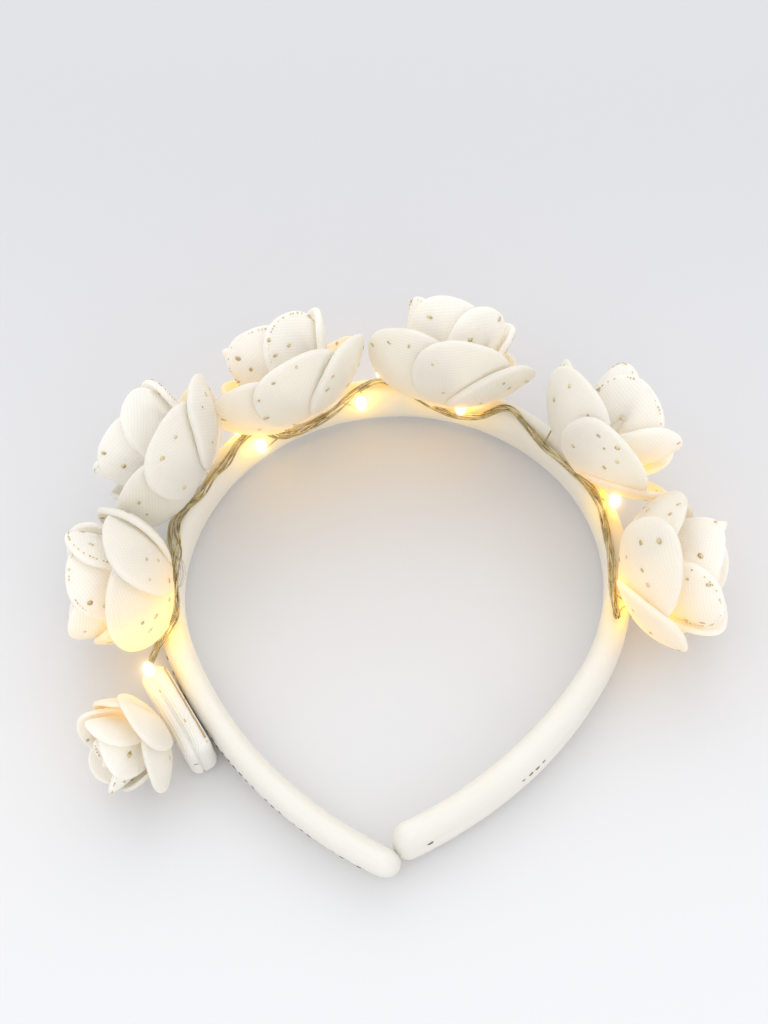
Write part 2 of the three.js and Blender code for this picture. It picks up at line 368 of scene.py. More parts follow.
@dataclass(frozen=True)
class SatinFinish(GlowPaintedFinish):
    """Ivory satin, its threads along the band.

    Attributes:
        thread_mm: Distance between threads.
        shade: Colour of the darker streaks.
    """

    thread_mm: float = 0.34
    shade: Colour = (0.79, 0.76, 0.685, 1.0)

    def sockets(self, board: Board) -> dict[str, Any]:
        """Fine threads, long soft streaks and a little unevenness from the padding.

        Args:
            board: The material's tree.

        Returns:
            The shader's sockets.
        """
        cloth = board.where("UV")
        drawn = board.add("ShaderNodeMapping", sockets={"Vector": cloth, "Scale": (0.35, 9.0, 1.0)})
        streak = self.noise(board, drawn, 3.0)
        flat = board.parts(cloth)
        waves = TURN * UV_MM / self.thread_mm
        thread = (flat.output("Y") * waves + streak * 2.0).sine()
        across = (flat.output("X") * (waves * 0.7)).sine()
        patch = self.noise(board, cloth, 0.6)
        height = thread * 0.2 + across * 0.1 + streak * 0.5
        tone = board.between(streak * 0.6 + patch * 0.4, 0.25, 0.7)
        return {
            **self.lit(board, board.mix(tone, self.shade, self.colour)),
            "Roughness": streak * 0.2 + (self.roughness - 0.1),
            "Normal": self.bump(board, height, 0.3, 0.1),
            "Sheen Weight": 0.35,
            "Sheen Roughness": 0.35,
            "Specular IOR Level": 0.45,
        }


@dataclass(frozen=True)
class WireFinish(Finish):
    """Thin copper in a clear coat, with darker stretches."""

    dark: Colour = (0.36, 0.29, 0.13, 1.0)

    def sockets(self, board: Board) -> dict[str, Any]:
        """Tarnish along the strands and a glossy coat.

        Args:
            board: The material's tree.

        Returns:
            The shader's sockets.
        """
        tarnish = board.between(self.noise(board, board.where(), 260.0, 3.0), 0.36, 0.66)
        return {
            "Base Color": board.mix(tarnish, self.dark, self.colour),
            "Roughness": tarnish * 0.12 + (self.roughness - 0.06),
            "Metallic": 0.75,
            "Coat Weight": 0.6,
            "Coat Roughness": 0.12,
        }


@dataclass(frozen=True)
class LampFinish(Finish):
    """A clear drop lit from inside."""

    light: Colour = (1.0, 0.68, 0.25, 1.0)
    pale_light: Colour = (1.0, 0.80, 0.42, 1.0)
    strength: float = 2.5

    def sockets(self, board: Board) -> dict[str, Any]:
        """A warm light, a little cloudy.

        Args:
            board: The material's tree.

        Returns:
            The shader's sockets.
        """
        cloud = self.noise(board, board.where(), 500.0)
        return {
            "Transmission Weight": 0.25,
            "Emission Color": board.mix(cloud, self.light, self.pale_light),
            "Emission Strength": self.strength,
            "Coat Weight": 0.5,
        }


@dataclass(frozen=True)
class ClearFinish(Finish):
    """Clear soft plastic."""

    def sockets(self, board: Board) -> dict[str, Any]:
        """Smooth and see-through, with faint clouds.

        Args:
            board: The material's tree.

        Returns:
            The shader's sockets.
        """
        return {
            "Roughness": self.noise(board, board.where(), 300.0) * 0.1 + self.roughness,
            "Transmission Weight": 0.8,
            "IOR": 1.35,
        }


@dataclass(frozen=True)
class MouldedFinish(GlowPaintedFinish):
    """Moulded ivory plastic with fine ribs and a spark-eroded grain."""

    focus: float = 8.0
    rib_mm: float = 0.9

    def sockets(self, board: Board) -> dict[str, Any]:
        """Ribs along the case, fine grain, slow changes of tone and painted shade between the ribs.

        Args:
            board: The material's tree.

        Returns:
            The shader's sockets.
        """
        flat = board.parts(board.where("UV"))
        rib = (flat.output("Y") * (TURN * UV_MM / self.rib_mm)).sine()
        place = board.where()
        grain = self.noise(board, place, 1800.0)
        slow = self.noise(board, place, 60.0)
        # The tone is partly slow random change and partly painted shade, darker in the grooves
        # between the ribs
        tone = slow * 0.6 + rib * 0.25 + 0.2
        return {
            **self.lit(board, board.mix(tone, self.shaded(0.9), self.colour)),
            "Roughness": slow * 0.15 + (self.roughness - 0.07),
            "Normal": self.bump(board, rib * 0.4 + grain * 0.2 + 0.4, 0.5, 0.2),
        }


@dataclass(frozen=True)
class GlitterFinish(Finish):
    """Tan and gold glitter flakes."""

    bright: Colour = (0.80, 0.66, 0.38, 1.0)

    def sockets(self, board: Board) -> dict[str, Any]:
        """A different gold from flake to flake."""
        shade = board.between(self.noise(board, board.where(), 900.0), 0.35, 0.65)
        return {"Base Color": board.mix(shade, self.colour, self.bright), "Metallic": 0.3}


@dataclass(frozen=True)
class ThreadFinish(Finish):
    """Brown sewing thread."""

    def sockets(self, board: Board) -> dict[str, Any]:
        """Uneven dye and twisted fibres.

        Args:
            board: The material's tree.

        Returns:
            The shader's sockets.
        """
        fibre = self.noise(board, board.where(), 1500.0)
        return {
            "Base Color": board.mix(fibre, self.colour, self.shaded(1.7)),
            "Normal": self.bump(board, fibre, 0.4, 0.1),
        }


# One foam in a lit and a shaded copy: the outer whorl's duller colour is partly the foam's warm
# tone and partly painted shade; the paler copy for the inner whorl and bud, with its faint glow, is
# painted light from above
FOAM = FoamFinish("ribbed_foam", (0.905, 0.89, 0.83, 1.0), 0.66)
LIT_INNER_FOAM = FoamFinish(
    "inner_foam_painted_lit",
    (0.955, 0.945, 0.905, 1.0),
    0.66,
    painted_trough_shade=(0.88, 0.865, 0.81, 1.0),
    painted_through_glow=0.12,
)
SATIN = SatinFinish("ivory_satin", (0.81, 0.788, 0.725, 1.0), 0.44)
WIRE = WireFinish("coated_copper", (0.64, 0.54, 0.28, 1.0), 0.28)
LAMP = LampFinish("lit_drop", (1.0, 0.93, 0.78, 1.0), 0.12)
CLEAR = ClearFinish("clear_tie", (0.93, 0.92, 0.88, 1.0), 0.08)
MOULDED = MouldedFinish("ivory_plastic", (0.88, 0.86, 0.80, 1.0), 0.5)
GLITTER = GlitterFinish("gold_glitter", (0.52, 0.40, 0.20, 1.0), 0.4)
THREAD = ThreadFinish("brown_thread", (0.20, 0.12, 0.06, 1.0), 0.8)
# A brown strand that stands in for the shadow in the gap between the case and the band
GAP_SHADOW_STRAND = ThreadFinish("brown_gap_shadow", (0.36, 0.25, 0.12, 1.0), 0.7)


# Meshes


@dataclass
class Shell:
    """A closed surface of rings between two poles, with a flat place for each corner.

    Attributes:
        rings: Corners by ring and place around, in millimetres.
        poles: The two end points.
        flat: Sheet coordinates of the corners, with one more place around than the rings.
        flat_poles: Sheet coordinates of the poles.
        reach: A number for each ring, which is kept as the attribute of that name.
    """

    rings: Points
    poles: tuple[Points, Points]
    flat: Points
    flat_poles: tuple[Points, Points]
    reach: Points

    def faces(self) -> tuple[list[list[int]], list[list[tuple[float, float]]]]:
        """The faces as corner numbers, with the sheet coordinates of each corner.

        Returns:
            The faces, and their sheet coordinates in the same order.
        """
        count, around = self.rings.shape[:2]
        first, last = count * around, count * around + 1
        faces: list[list[int]] = []
        sheets: list[list[tuple[float, float]]] = []
        for side in range(around):
            after = (side + 1) % around
            faces.append([first, after, side])
            sheets.append([self.flat_poles[0], self.flat[0, side + 1], self.flat[0, side]])
            top = (count - 1) * around
            faces.append([last, top + side, top + after])
            sheets.append([self.flat_poles[1], self.flat[-1, side], self.flat[-1, side + 1]])
        for ring in range(count - 1):
            low, high = ring * around, (ring + 1) * around
            for side in range(around):
                after = (side + 1) % around
                faces.append([low + side, low + after, high + after, high + side])
                here, there = self.flat[ring], self.flat[ring + 1]
                sheets.append([here[side], here[side + 1], there[side + 1], there[side]])
        return faces, sheets

    def corners(self) -> Points:
        """All corners, ring by ring, and then the poles."""
        return np.vstack([self.rings.reshape(-1, 3), self.poles[0], self.poles[1]])

    def corner_reach(self) -> Points:
        """The reach of each corner."""
        by_ring = np.repeat(self.reach, self.rings.shape[1])
        return np.concatenate([by_ring, [self.reach[0], self.reach[-1]]])


@dataclass
class Maker:
    """Makes meshes in the frame from shapes in millimetres.

    Attributes:
        origin: The middle of the crown arc in the frame, in metres.
        lights: The middles of the lights, whose glow is painted on the pieces near them.
        trees: The trees that grow small pieces.
        glow_reach: How far a light's painted glow spreads.
    """

    origin: Vector
    lights: Points
    trees: Trees
    glow_reach: float = 20.0

    def glow(self, points: Points) -> Points:
        """How much of the lights' painted glow there is at each point, from 0 to 1."""
        away = np.linalg.norm(points[:, None] - self.lights[None], axis=2)
        return np.exp(-((away / self.glow_reach) ** 2)).max(axis=1)

    def to_frame(self, points: Points) -> Points:
        """Points in millimetres from the crown arc's middle, as metres in the frame."""
        return np.asarray(points, float) * MM + np.array(self.origin)

    def mesh(self, name: str, shells: Iterable[Shell], finish: Finish) -> bpy.types.Object:
        """One object from closed shells.

        Args:
            name: The piece's name.
            shells: Its surfaces.
            finish: Its finish.

        Returns:
            The linked object, with its sheet coordinates as a UV map.
        """
        corners: list[Points] = []
        faces: list[list[int]] = []
        sheets: list[tuple[float, float]] = []
        reaches: list[Points] = []
        start = 0
        for shell in shells:
            points = shell.corners()
            own, own_sheets = shell.faces()
            if self._volume(points, own) < 0:
                own = [face[::-1] for face in own]
                own_sheets = [sheet[::-1] for sheet in own_sheets]
            corners.append(points)
            faces.extend([start + corner for corner in face] for face in own)
            sheets.extend(place for sheet in own_sheets for place in sheet)
            reaches.append(shell.corner_reach())
            start += len(points)
        data = bpy.data.meshes.new(name)
        data.from_pydata(self.to_frame(np.vstack(corners)).tolist(), [], faces)
        layer = data.uv_layers.new(name="sheet")
        layer.data.foreach_set("uv", (np.array(sheets, np.float32) / UV_MM).ravel())
        # The glow attribute carries the painted glow of the lights
        fields = {"reach": np.concatenate(reaches), "glow": self.glow(np.vstack(corners))}
        for title, values in fields.items():
            kept = data.attributes.new(title, "FLOAT", "POINT")
            kept.data.foreach_set("value", values.astype(np.float32))
        data.polygons.foreach_set("use_smooth", [True] * len(data.polygons))
        data.materials.append(finish.material())
        data.update()
        return self.link(name, data)

    @staticmethod
    def _volume(points: Points, faces: list[list[int]]) -> float:
        """Signed volume of a closed surface.

        Args:
            points: Its corners.
            faces: Its faces as corner numbers.

        Returns:
            The volume, which is negative where the surface is inside out.
        """
        total = 0.0
        for face in faces:
            first, rest = points[face[0]], points[face[1:]]
            for left, right in zip(rest[:-1], rest[1:]):
                total += float(np.dot(first, np.cross(left, right)))
        return total / 6

    def lines(self, name: str, paths: Iterable[Points]) -> bpy.types.Object:
        """A helper object of open lines, for a tree that follows them.

        Args:
            name: The helper's name.
            paths: The points of each line, in millimetres.

        Returns:
            The linked helper.
        """
        points: list[Points] = []
        edges: list[tuple[int, int]] = []
        for path in paths:
            start = sum(len(part) for part in points)
            points.append(np.asarray(path, float))
            edges.extend((start + step, start + step + 1) for step in range(len(path) - 1))
        data = bpy.data.meshes.new(name)
        data.from_pydata(self.to_frame(np.vstack(points)).tolist(), edges, [])
        return self.link(name, data)

    def follow(
        self,
        tree: GrowthTree,
        name: str,
        paths: Iterable[Points],
        values: dict[str, Any],
        slot: str,
        *nodes: str,
    ) -> None:
        """Grows a finished piece along lines.

        Args:
            tree: The tree.
            name: The piece's name.
            paths: The points of each line, in millimetres.
            values: The tree's inputs by name.
            slot: A material slot name, passed on to settle.
            nodes: The solids that it stands for.
        """
        helper = self.lines(f"{name}_lines", paths)
        piece = tree.grow(helper, name, values)
        bpy.data.objects.remove(helper)
        self.settle(piece, slot, *nodes)

    def sprinkle(
        self, source: bpy.types.Object, name: str, sizes: dict[str, float], seed: int, slot: str
    ) -> None:
        """Scatters glitter flecks over a finished piece.

        Args:
            source: The piece that they lie on.
            name: The flecks' name.
            sizes: How far apart they are and their radius, in millimetres, by the tree's inputs.
            seed: Seed of their places.
            slot: A material slot name, passed on to settle.
        """
        values = {title: size * MM for title, size in sizes.items()}
        values.update({"Seed": seed, "Finish": GLITTER})
        self.settle(self.trees.flecks.grow(source, name, values), slot)

    @staticmethod
    def link(name: str, data: bpy.types.Mesh) -> bpy.types.Object:
        """Puts a mesh in the scene.

        Args:
            name: The object's name.
            data: The mesh.

        Returns:
            The linked object.
        """
        made = bpy.data.objects.new(name, data)
        bpy.context.scene.collection.objects.link(made)
        return made

    @staticmethod
    def settle(piece: bpy.types.Object, slot: str, *nodes: str) -> bpy.types.Object:
        """Puts a finished piece on the body.

        Args:
            piece: The piece.
            slot: A material slot name; not used.
            nodes: The solids that it stands for.

        Returns:
            The piece.
        """
        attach(piece, BODY)
        if nodes:
            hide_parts(*nodes)
        log.info("%s: %d faces", piece.name, len(piece.data.polygons))
        return piece


class GrowthTree:
    """A geometry tree with named inputs, whose result becomes a plain mesh."""

    KINDS = {float: "NodeSocketFloat", int: "NodeSocketInt", Finish: "NodeSocketMaterial"}

    def __init__(self, name: str, inputs: dict[str, type]) -> None:
        """Makes the tree's interface and its input node.

        Args:
            name: The tree's name.
            inputs: The kind of each input by name.
        """
        self.tree = bpy.data.node_groups.new(name, "GeometryNodeTree")
        face = self.tree.interface
        face.new_socket("Geometry", in_out="INPUT", socket_type="NodeSocketGeometry")
        face.new_socket("Geometry", in_out="OUTPUT", socket_type="NodeSocketGeometry")
        for title, kind in inputs.items():
            face.new_socket(title, in_out="INPUT", socket_type=self.KINDS[kind])
        self.board = Board(self.tree)
        self.entry = self.board.add("NodeGroupInput")

    def curves(self) -> Signal:
        """The source's lines as curves."""
        return self.board.add("GeometryNodeMeshToCurve", sockets={0: self.entry})

    def tube(self, curve: Signal, radius: Any, **more: Any) -> Signal:
        """A capped round tube along curves.

        Args:
            curve: The curves.
            radius: The tube's radius.
            more: Other sockets of the node that makes it.

        Returns:
            The tube.
        """
        sides = {"Resolution": self.entry.output("Sides"), "Radius": radius}
        ring = self.board.add("GeometryNodeCurvePrimitiveCircle", sockets=sides)
        sockets = {"Curve": curve, "Profile Curve": ring, "Fill Caps": True, **more}
        return self.board.add("GeometryNodeCurveToMesh", sockets=sockets)

    def grain(self) -> Signal:
        """A small round grain of the input radius."""
        sockets = {"Radius": self.entry.output("Radius"), "Subdivisions": 1}
        return self.board.add("GeometryNodeMeshIcoSphere", sockets=sockets)

    def below(self, value: Signal, limit: Any) -> Signal:
        """Whether a value is below a limit."""
        settings = {"data_type": "FLOAT", "operation": "LESS_THAN"}
        return self.board.add("FunctionNodeCompare", settings, {0: value, 1: limit})

    def chance(self, low: float, high: float, seed: Signal) -> Signal:
        """A random number for each point, between two limits."""
        sockets = {2: low, 3: high, "Seed": seed}
        return self.board.add("FunctionNodeRandomValue", {"data_type": "FLOAT"}, sockets, output=1)

    def plant(self, points: Signal, **sockets: Any) -> Signal:
        """Sets instances on points, by the sockets of the node that does it."""
        sockets = {"Points": points, **sockets}
        return self.board.add("GeometryNodeInstanceOnPoints", sockets=sockets)

    def close(self, geometry: Signal) -> None:
        """Realizes the geometry, gives it the input finish and sends it out.

        Args:
            geometry: What the tree has made.
        """
        real = self.board.add("GeometryNodeRealizeInstances", sockets={"Geometry": geometry})
        smooth = self.board.add("GeometryNodeSetShadeSmooth", sockets={"Geometry": real})
        painted = self.board.add(
            "GeometryNodeSetMaterial",
            sockets={"Geometry": smooth, "Material": self.entry.output("Finish")},
        )
        self.board.add("NodeGroupOutput", sockets={0: painted})

    def grow(self, source: bpy.types.Object, name: str, values: dict[str, Any]) -> bpy.types.Object:
        """Runs the tree on a source.

        Args:
            source: The helper or piece that the tree follows.
            name: The new piece's name.
            values: The tree's inputs by name.

        Returns:
            A linked object with the result as a plain mesh.
        """
        modifier = source.modifiers.new(self.tree.name, "NODES")
        modifier.node_group = self.tree
        for item in self.tree.interface.items_tree:
            if item.in_out == "INPUT" and item.name in values:
                value = values[item.name]
                modifier[item.identifier] = value.material() if isinstance(value, Finish) else value
        graph = bpy.context.evaluated_depsgraph_get()
        data = bpy.data.meshes.new_from_object(source.evaluated_get(graph), depsgraph=graph)
        source.modifiers.remove(modifier)
        data.name = name
        return Maker.link(name, data)


# Least and greatest size of a bead, and its thickness beside its width
BEAD_SIZES = (0.7, 1.2)
BEAD_FLATNESS = 0.7

# Share of a petal that flecks lie on, the most flecks to a square metre, and their sizes
FLECK_REACH = 0.9
FLECK_DENSITY = 60000.0
FLECK_SIZES = ((0.45, 0.45, 0.22), (1.25, 0.9, 0.3))

# Rings of a drop, how full its ends are, its width at its seat, and how much narrower its nose is
DROP_RINGS = 15
DROP_FULLNESS = 0.42
DROP_SEAT = 1.05
DROP_TAPER = 0.25


def strand_tree() -> GrowthTree:
    """A tree that lays a round strand along each line.

    Returns:
        The tree.
    """
    growth = GrowthTree("strands", {"Radius": float, "Sides": int, "Finish": Finish})
    growth.close(growth.tube(growth.curves(), growth.entry.output("Radius")))
    return growth


def bead_tree() -> GrowthTree:
    """A tree that sets a long bead along each line at a spacing, some of them left out.

    Returns:
        The tree.
    """
    inputs = {
        "Spacing": float,
        "Radius": float,
        "Stretch": float,
        "Share": float,
        "Seed": int,
        "Finish": Finish,
    }
    growth = GrowthTree("beads", inputs)
    add, entry = growth.board.add, growth.entry
    step = {"Curve": growth.curves(), "Length": entry.output("Spacing")}
    spaced = add("GeometryNodeResampleCurve", {"mode": "LENGTH"}, step)
    tangent = add("GeometryNodeInputTangent")
    turned = add("FunctionNodeAlignRotationToVector", {"axis": "X"}, {"Vector": tangent})
    form = {"X": entry.output("Stretch"), "Y": 1.0, "Z": BEAD_FLATNESS}
    stretch = add("ShaderNodeCombineXYZ", sockets=form)
    size = growth.chance(*BEAD_SIZES, entry.output("Seed") + 1)
    scale = add("ShaderNodeVectorMath", {"operation": "SCALE"}, {0: stretch, "Scale": size})
    kept = growth.below(growth.chance(0.0, 1.0, entry.output("Seed")), entry.output("Share"))
    set_out = growth.plant(
        spaced, Selection=kept, Instance=growth.grain(), Rotation=turned, Scale=scale
    )
    growth.close(set_out)
    return growth


def fleck_tree() -> GrowthTree:
    """A tree that scatters flat glitter flecks over petals, away from their rims.

    Returns:
        The tree.
    """
    inputs = {"Apart": float, "Radius": float, "Seed": int, "Finish": Finish}
    growth = GrowthTree("flecks", inputs)
    add, entry = growth.board.add, growth.entry
    reach = add("GeometryNodeInputNamedAttribute", {"data_type": "FLOAT"}, {"Name": "reach"})
    spread = {
        "Mesh": entry,
        "Selection": growth.below(reach, FLECK_REACH),
        "Distance Min": entry.output("Apart"),
        "Density Max": FLECK_DENSITY,
        "Seed": entry.output("Seed"),
    }
    spots = add("GeometryNodeDistributePointsOnFaces", {"distribute_method": "POISSON"}, spread)
    sizes = {0: FLECK_SIZES[0], 1: FLECK_SIZES[1], "Seed": entry.output("Seed")}
    size = add("FunctionNodeRandomValue", {"data_type": "FLOAT_VECTOR"}, sizes)
    turned = spots.output("Rotation")
    growth.close(growth.plant(spots, Instance=growth.grain(), Rotation=turned, Scale=size))
    return growth


def drop_tree() -> GrowthTree:
    """A tree that turns each short line into a drop, thicker at its seat than at its nose.

    Returns:
        The tree.
    """
    growth = GrowthTree("drops", {"Radius": float, "Sides": int, "Finish": Finish})
    add, entry = growth.board.add, growth.entry
    rings = {"Curve": growth.curves(), "Count": DROP_RINGS}
    fine = add("GeometryNodeResampleCurve", {"mode": "COUNT"}, rings)
    along = add("GeometryNodeSplineParameter")
    middle = along * 2 - 1
    taper = DROP_SEAT - along * DROP_TAPER
    width = (1 - middle * middle) ** DROP_FULLNESS * taper * entry.output("Radius")
    growth.close(growth.tube(fine, 1.0, Scale=width))
    return growth


@dataclass(frozen=True)
class Trees:
    """The trees that grow small pieces.

    Attributes:
        strands: Lays a strand along each line.
        beads: Sets beads along each line.
        flecks: Scatters flecks over a piece.
        drops: Turns each short line into a drop.
    """

    strands: GrowthTree = field(default_factory=strand_tree)
    beads: GrowthTree = field(default_factory=bead_tree)
    flecks: GrowthTree = field(default_factory=fleck_tree)
    drops: GrowthTree = field(default_factory=drop_tree)


# The hoop


def by_side(left: float, right: float) -> Any:
    """A dataclass field that holds a number for each leg."""
    return field(default_factory=lambda: {Side.LEFT: left, Side.RIGHT: right})


@dataclass(frozen=True)
class Place:
    """A place on the band's middle line, and the directions there."""

    point: Points
    outward: Points
    upward: Points
    travel: Points


@dataclass(frozen=True)
class Hoop:
    """The line and the section of the padded band.

    Attributes:
        head_radius: Inside radius of the crown arc.
        thickness: How far the band stands out from the head.
        width: How high the band stands.
        squareness: Power that squares off the section's ellipse.
        crown_half_angle: Half of the crown arc, in degrees.
        leg_radius: Radius of the straighter legs.
        leg_length: Length of each leg past the crown.
        tip_lift: How far each tip bends up.
        tip_twist: How far each tip leans out, in degrees.
        tip_round: Length of the rounding of each tip.
    """

    head_radius: float = 56.0
    thickness: float = 7.4
    width: float = 14.0
    squareness: float = 0.8
    crown_half_angle: float = 117.0
    leg_radius: float = 111.0
    leg_length: dict[Side, float] = by_side(82.0, 69.5)
    tip_lift: dict[Side, float] = by_side(-2.0, -0.7)
    tip_twist: dict[Side, float] = by_side(-22.0, 4.0)
    tip_round: float = 4.0

    @property
    def radius(self) -> float:
        """Radius of the crown arc along the middle of the band."""
        return self.head_radius + self.thickness / 2

    @property
    def crown_reach(self) -> float:
        """Length of the crown arc on each side of its middle."""
        return self.radius * math.radians(self.crown_half_angle)

    def end(self, side: Side) -> float:
        """How far along the band a tip is, counted positive to the left."""
        reach = self.crown_reach + self.leg_length[side]
        return reach if side is Side.LEFT else -reach

    def place(self, along: float) -> Place:
        """A place on the middle line.

        Args:
            along: Distance from the middle of the crown, positive to the left.

        Returns:
            The point there and the band's directions.
        """
        side = Side.RIGHT if along < 0 else Side.LEFT
        sign = -1.0 if along < 0 else 1.0
        past = max(abs(along) - self.crown_reach, 0.0)
        turn = min(abs(along), self.crown_reach) / self.radius + past / self.leg_radius
        radial = np.array([-sign * math.sin(turn), math.cos(turn), 0.0])
        point = radial * self.radius
        if past > 0:
            bend = math.radians(self.crown_half_angle)
            crown_end = np.array([-sign * math.sin(bend), math.cos(bend), 0.0])
            point = radial * self.leg_radius + crown_end * (self.radius - self.leg_radius)
        share = past / self.leg_length[side]
        twist = math.radians(self.tip_twist[side] * share)
        outward = radial * math.cos(twist) + UP * math.sin(twist)
        upward = UP * math.cos(twist) - radial * math.sin(twist)
        point = point + UP * self.tip_lift[side] * share**2
        return Place(point, outward, upward, np.cross(upward, outward))

    def section(self, around: float, size: float = 1.0, growth: float = 0.0) -> tuple[float, float]:
        """A point of the section, outward and upward of its middle.

        Args:
            around: Angle around the section in degrees, 0 outward and 90 up.
            size: Scale of the section.
            growth: How far the point is off the section.

        Returns:
            The distances outward and upward.
        """
        angle = math.radians(around)

        def squared(value: float) -> float:
            """The value with the section's squareness."""
            return math.copysign(abs(value) ** self.squareness, value)

        out = (self.thickness / 2 * size + growth) * squared(math.cos(angle))
        return out, (self.width / 2 * size + growth) * squared(math.sin(angle))

    def on_section(
        self, along: float, around: float, size: float = 1.0, growth: float = 0.0
    ) -> Points:
        """A point of the band's surface.

        Args:
            along: Distance from the middle of the crown, positive to the left.
            around: Angle around the section in degrees, 0 outward and 90 up.
            size: Scale of the section.
            growth: How far the point is off the section.

        Returns:
            The point, in millimetres.
        """
        place = self.place(along)
        out, up = self.section(around, size, growth)
        return place.point + place.outward * out + place.upward * up

    def over(self, angle: float, around: float, off: float) -> Points:
        """A point off the crown's surface, by its angle along the crown in degrees."""
        return self.on_section(math.radians(angle) * self.radius, around, growth=off)


@dataclass
class Band:
    """The padded satin band and the stitches in its seam.

    Attributes:
        hoop: The band's line and section.
        maker: Makes its meshes.
        sides: Corners around the section.
        step: Distance between rows along the band.
        seam_around: Where the cover's seam runs around the section, in degrees.
        seam_depth: How deep the seam pulls in.
        seam_spread: How far the seam's pull spreads around the section, in radians.
        pucker: How high the gathers beside the seam stand.
        pucker_spread: How far the gathers spread around the section, in radians.
        gather: Distance between gathers.
        slack: How uneven the padding is.
        seam_step: Distance between points of the seam's line.
        stitch: Distance between stitches.
        stitch_radius: Half thickness of a stitch.
        stitch_stretch: Length of a stitch beside its thickness.
        stitch_lift: How far the stitches stand out of the seam.
        stitch_share: Share of the stitches that show: left, on that leg, and right, on the rest.
        stitch_seed: Seed of which stitches show.
        tip_clear: How far from the rounding of the tips the stitches stop.
    """

    hoop: Hoop
    maker: Maker
    sides: int = 56
    step: float = 1.3
    seam_around: float = 3.0
    seam_depth: float = 0.2
    seam_spread: float = 0.11
    pucker: float = 0.08
    pucker_spread: float = 0.42
    gather: float = 4.2
    slack: float = 0.12
    seam_step: float = 0.8
    stitch: float = 2.4
    stitch_radius: float = 0.28
    stitch_stretch: float = 3.0
    stitch_lift: float = 0.08
    stitch_share: dict[Side, float] = by_side(0.7, 0.16)
    stitch_seed: int = 4
    tip_clear: float = 2.0

    def growth(self, along: float, around: float) -> float:
        """How far the cover stands off the smooth section, from its seam and its padding.

        Args:
            along: Distance from the middle of the crown, positive to the left.
            around: Angle around the section, in degrees.

        Returns:
            The distance, negative in the seam.
        """
        off_seam = math.radians((around - self.seam_around + 180.0) % 360.0 - 180.0)
        seam = math.exp(-((off_seam / self.seam_spread) ** 2))
        beside = math.exp(-((off_seam / self.pucker_spread) ** 2))
        waves = math.sin(TURN * along / self.gather + 0.7 * math.sin(along * 0.21))
        soft = math.sin(along * 0.083 + 1.3) * math.sin(along * 0.031) * self.slack
        return soft + self.pucker * waves * beside - self.seam_depth * seam

    def rows(self) -> list[tuple[float, float]]:
        """Rows along the band, between its tips.

        Returns:
            The distance along and the size of each row.
        """
        right, left = self.hoop.end(Side.RIGHT), self.hoop.end(Side.LEFT)
        rounding = [step * math.pi / 18 for step in range(1, 9)]
        tip = self.hoop.tip_round
        rise = [(tip * (1 - math.cos(angle)), math.sin(angle)) for angle in rounding]
        first, last = right + tip, left - tip
        count = round((last - first) / self.step)
        straight = [(first + (last - first) * number / count, 1.0) for number in range(count + 1)]
        head = [(right + back, size) for back, size in rise]
        tail = [(left - back, size) for back, size in reversed(rise)]
        return head + straight + tail

    def cover(self) -> None:
        """Makes the padded cover."""
        rows = self.rows()
        angles = [360.0 * side / self.sides for side in range(self.sides)]
        rings = np.array(
            [
                [
                    self.hoop.on_section(along, around, size, self.growth(along, around) * size)
                    for around in angles
                ]
                for along, size in rows
            ]
        )
        middle = rings[len(rings) // 2]
        girth = np.linalg.norm(np.roll(middle, -1, axis=0) - middle, axis=1)
        cloth = np.concatenate([[0.0], np.cumsum(girth)])
        flat = np.array([[(along, place) for place in cloth] for along, _ in rows])
        ends = [self.hoop.end(Side.RIGHT), self.hoop.end(Side.LEFT)]
        poles = tuple(self.hoop.place(end).point for end in ends)
        flat_poles = tuple(np.array([end, cloth[-1] / 2]) for end in ends)
        shell = Shell(rings, poles, flat, flat_poles, np.ones(len(rings)))
        cover = self.maker.mesh("satin_cover", [shell], SATIN)
        self.maker.settle(cover, "satin", "band")

    def seam_line(self, start: float, end: float) -> Points:
        """A line in the seam.

        Args:
            start: Distance along the band where it starts.
            end: Distance along the band before which it ends.

        Returns:
            The points of the line.
        """
        around = self.seam_around
        return np.array(
            [
                self.hoop.on_section(
                    along, around, growth=self.growth(along, around) + self.stitch_lift
                )
                for along in np.arange(start, end, self.seam_step)
            ]
        )

    def thread(self) -> None:
        """Sets the brown stitches that show along the seam, most of them on the left leg."""
        edge = self.hoop.tip_round + self.tip_clear
        right, left = self.hoop.end(Side.RIGHT) + edge, self.hoop.end(Side.LEFT) - edge
        turn = self.hoop.crown_reach
        for side, (start, end) in {Side.RIGHT: (right, turn), Side.LEFT: (turn, left)}.items():
            values = {
                "Spacing": self.stitch * MM,
                "Radius": self.stitch_radius * MM,
                "Stretch": self.stitch_stretch,
                "Share": self.stitch_share[side],
                "Seed": self.stitch_seed,
                "Finish": THREAD,
            }
            name, line = f"seam_stitches_{side.value}", self.seam_line(start, end)
            self.maker.follow(self.maker.trees.beads, name, [line], values, "satin")


# Flowers


@dataclass(frozen=True)
class WhorlShape:
    """A ring of petals.

    Attributes:
        petals: How many petals.
        length: Length of a petal along its middle.
        half_width: Half its width.
        start: How far from the flower's axis it starts.
        height: How high on the axis its hub is.
        rise_at_base: Its slope where it starts, in degrees.
        rise_at_tip: Its slope at its tip, in degrees.
        wrap_radius: Least radius of its hollow across.
        cup_radius: Length that sets how much deeper its edges stand.
        twist: How far one edge stands inside the other.
        turn: Turn of the first petal, in degrees.
        crowd: How far the other petals crowd towards the front, in degrees.
        hub: Radius of the hub.
        segments: Corners around a petal.
    """

    petals: int
    length: float
    half_width: float
    start: float
    height: float
    rise_at_base: float
    rise_at_tip: float
    wrap_radius: float
    cup_radius: float
    twist: float
    turn: float
    crowd: float
    hub: float
    segments: int


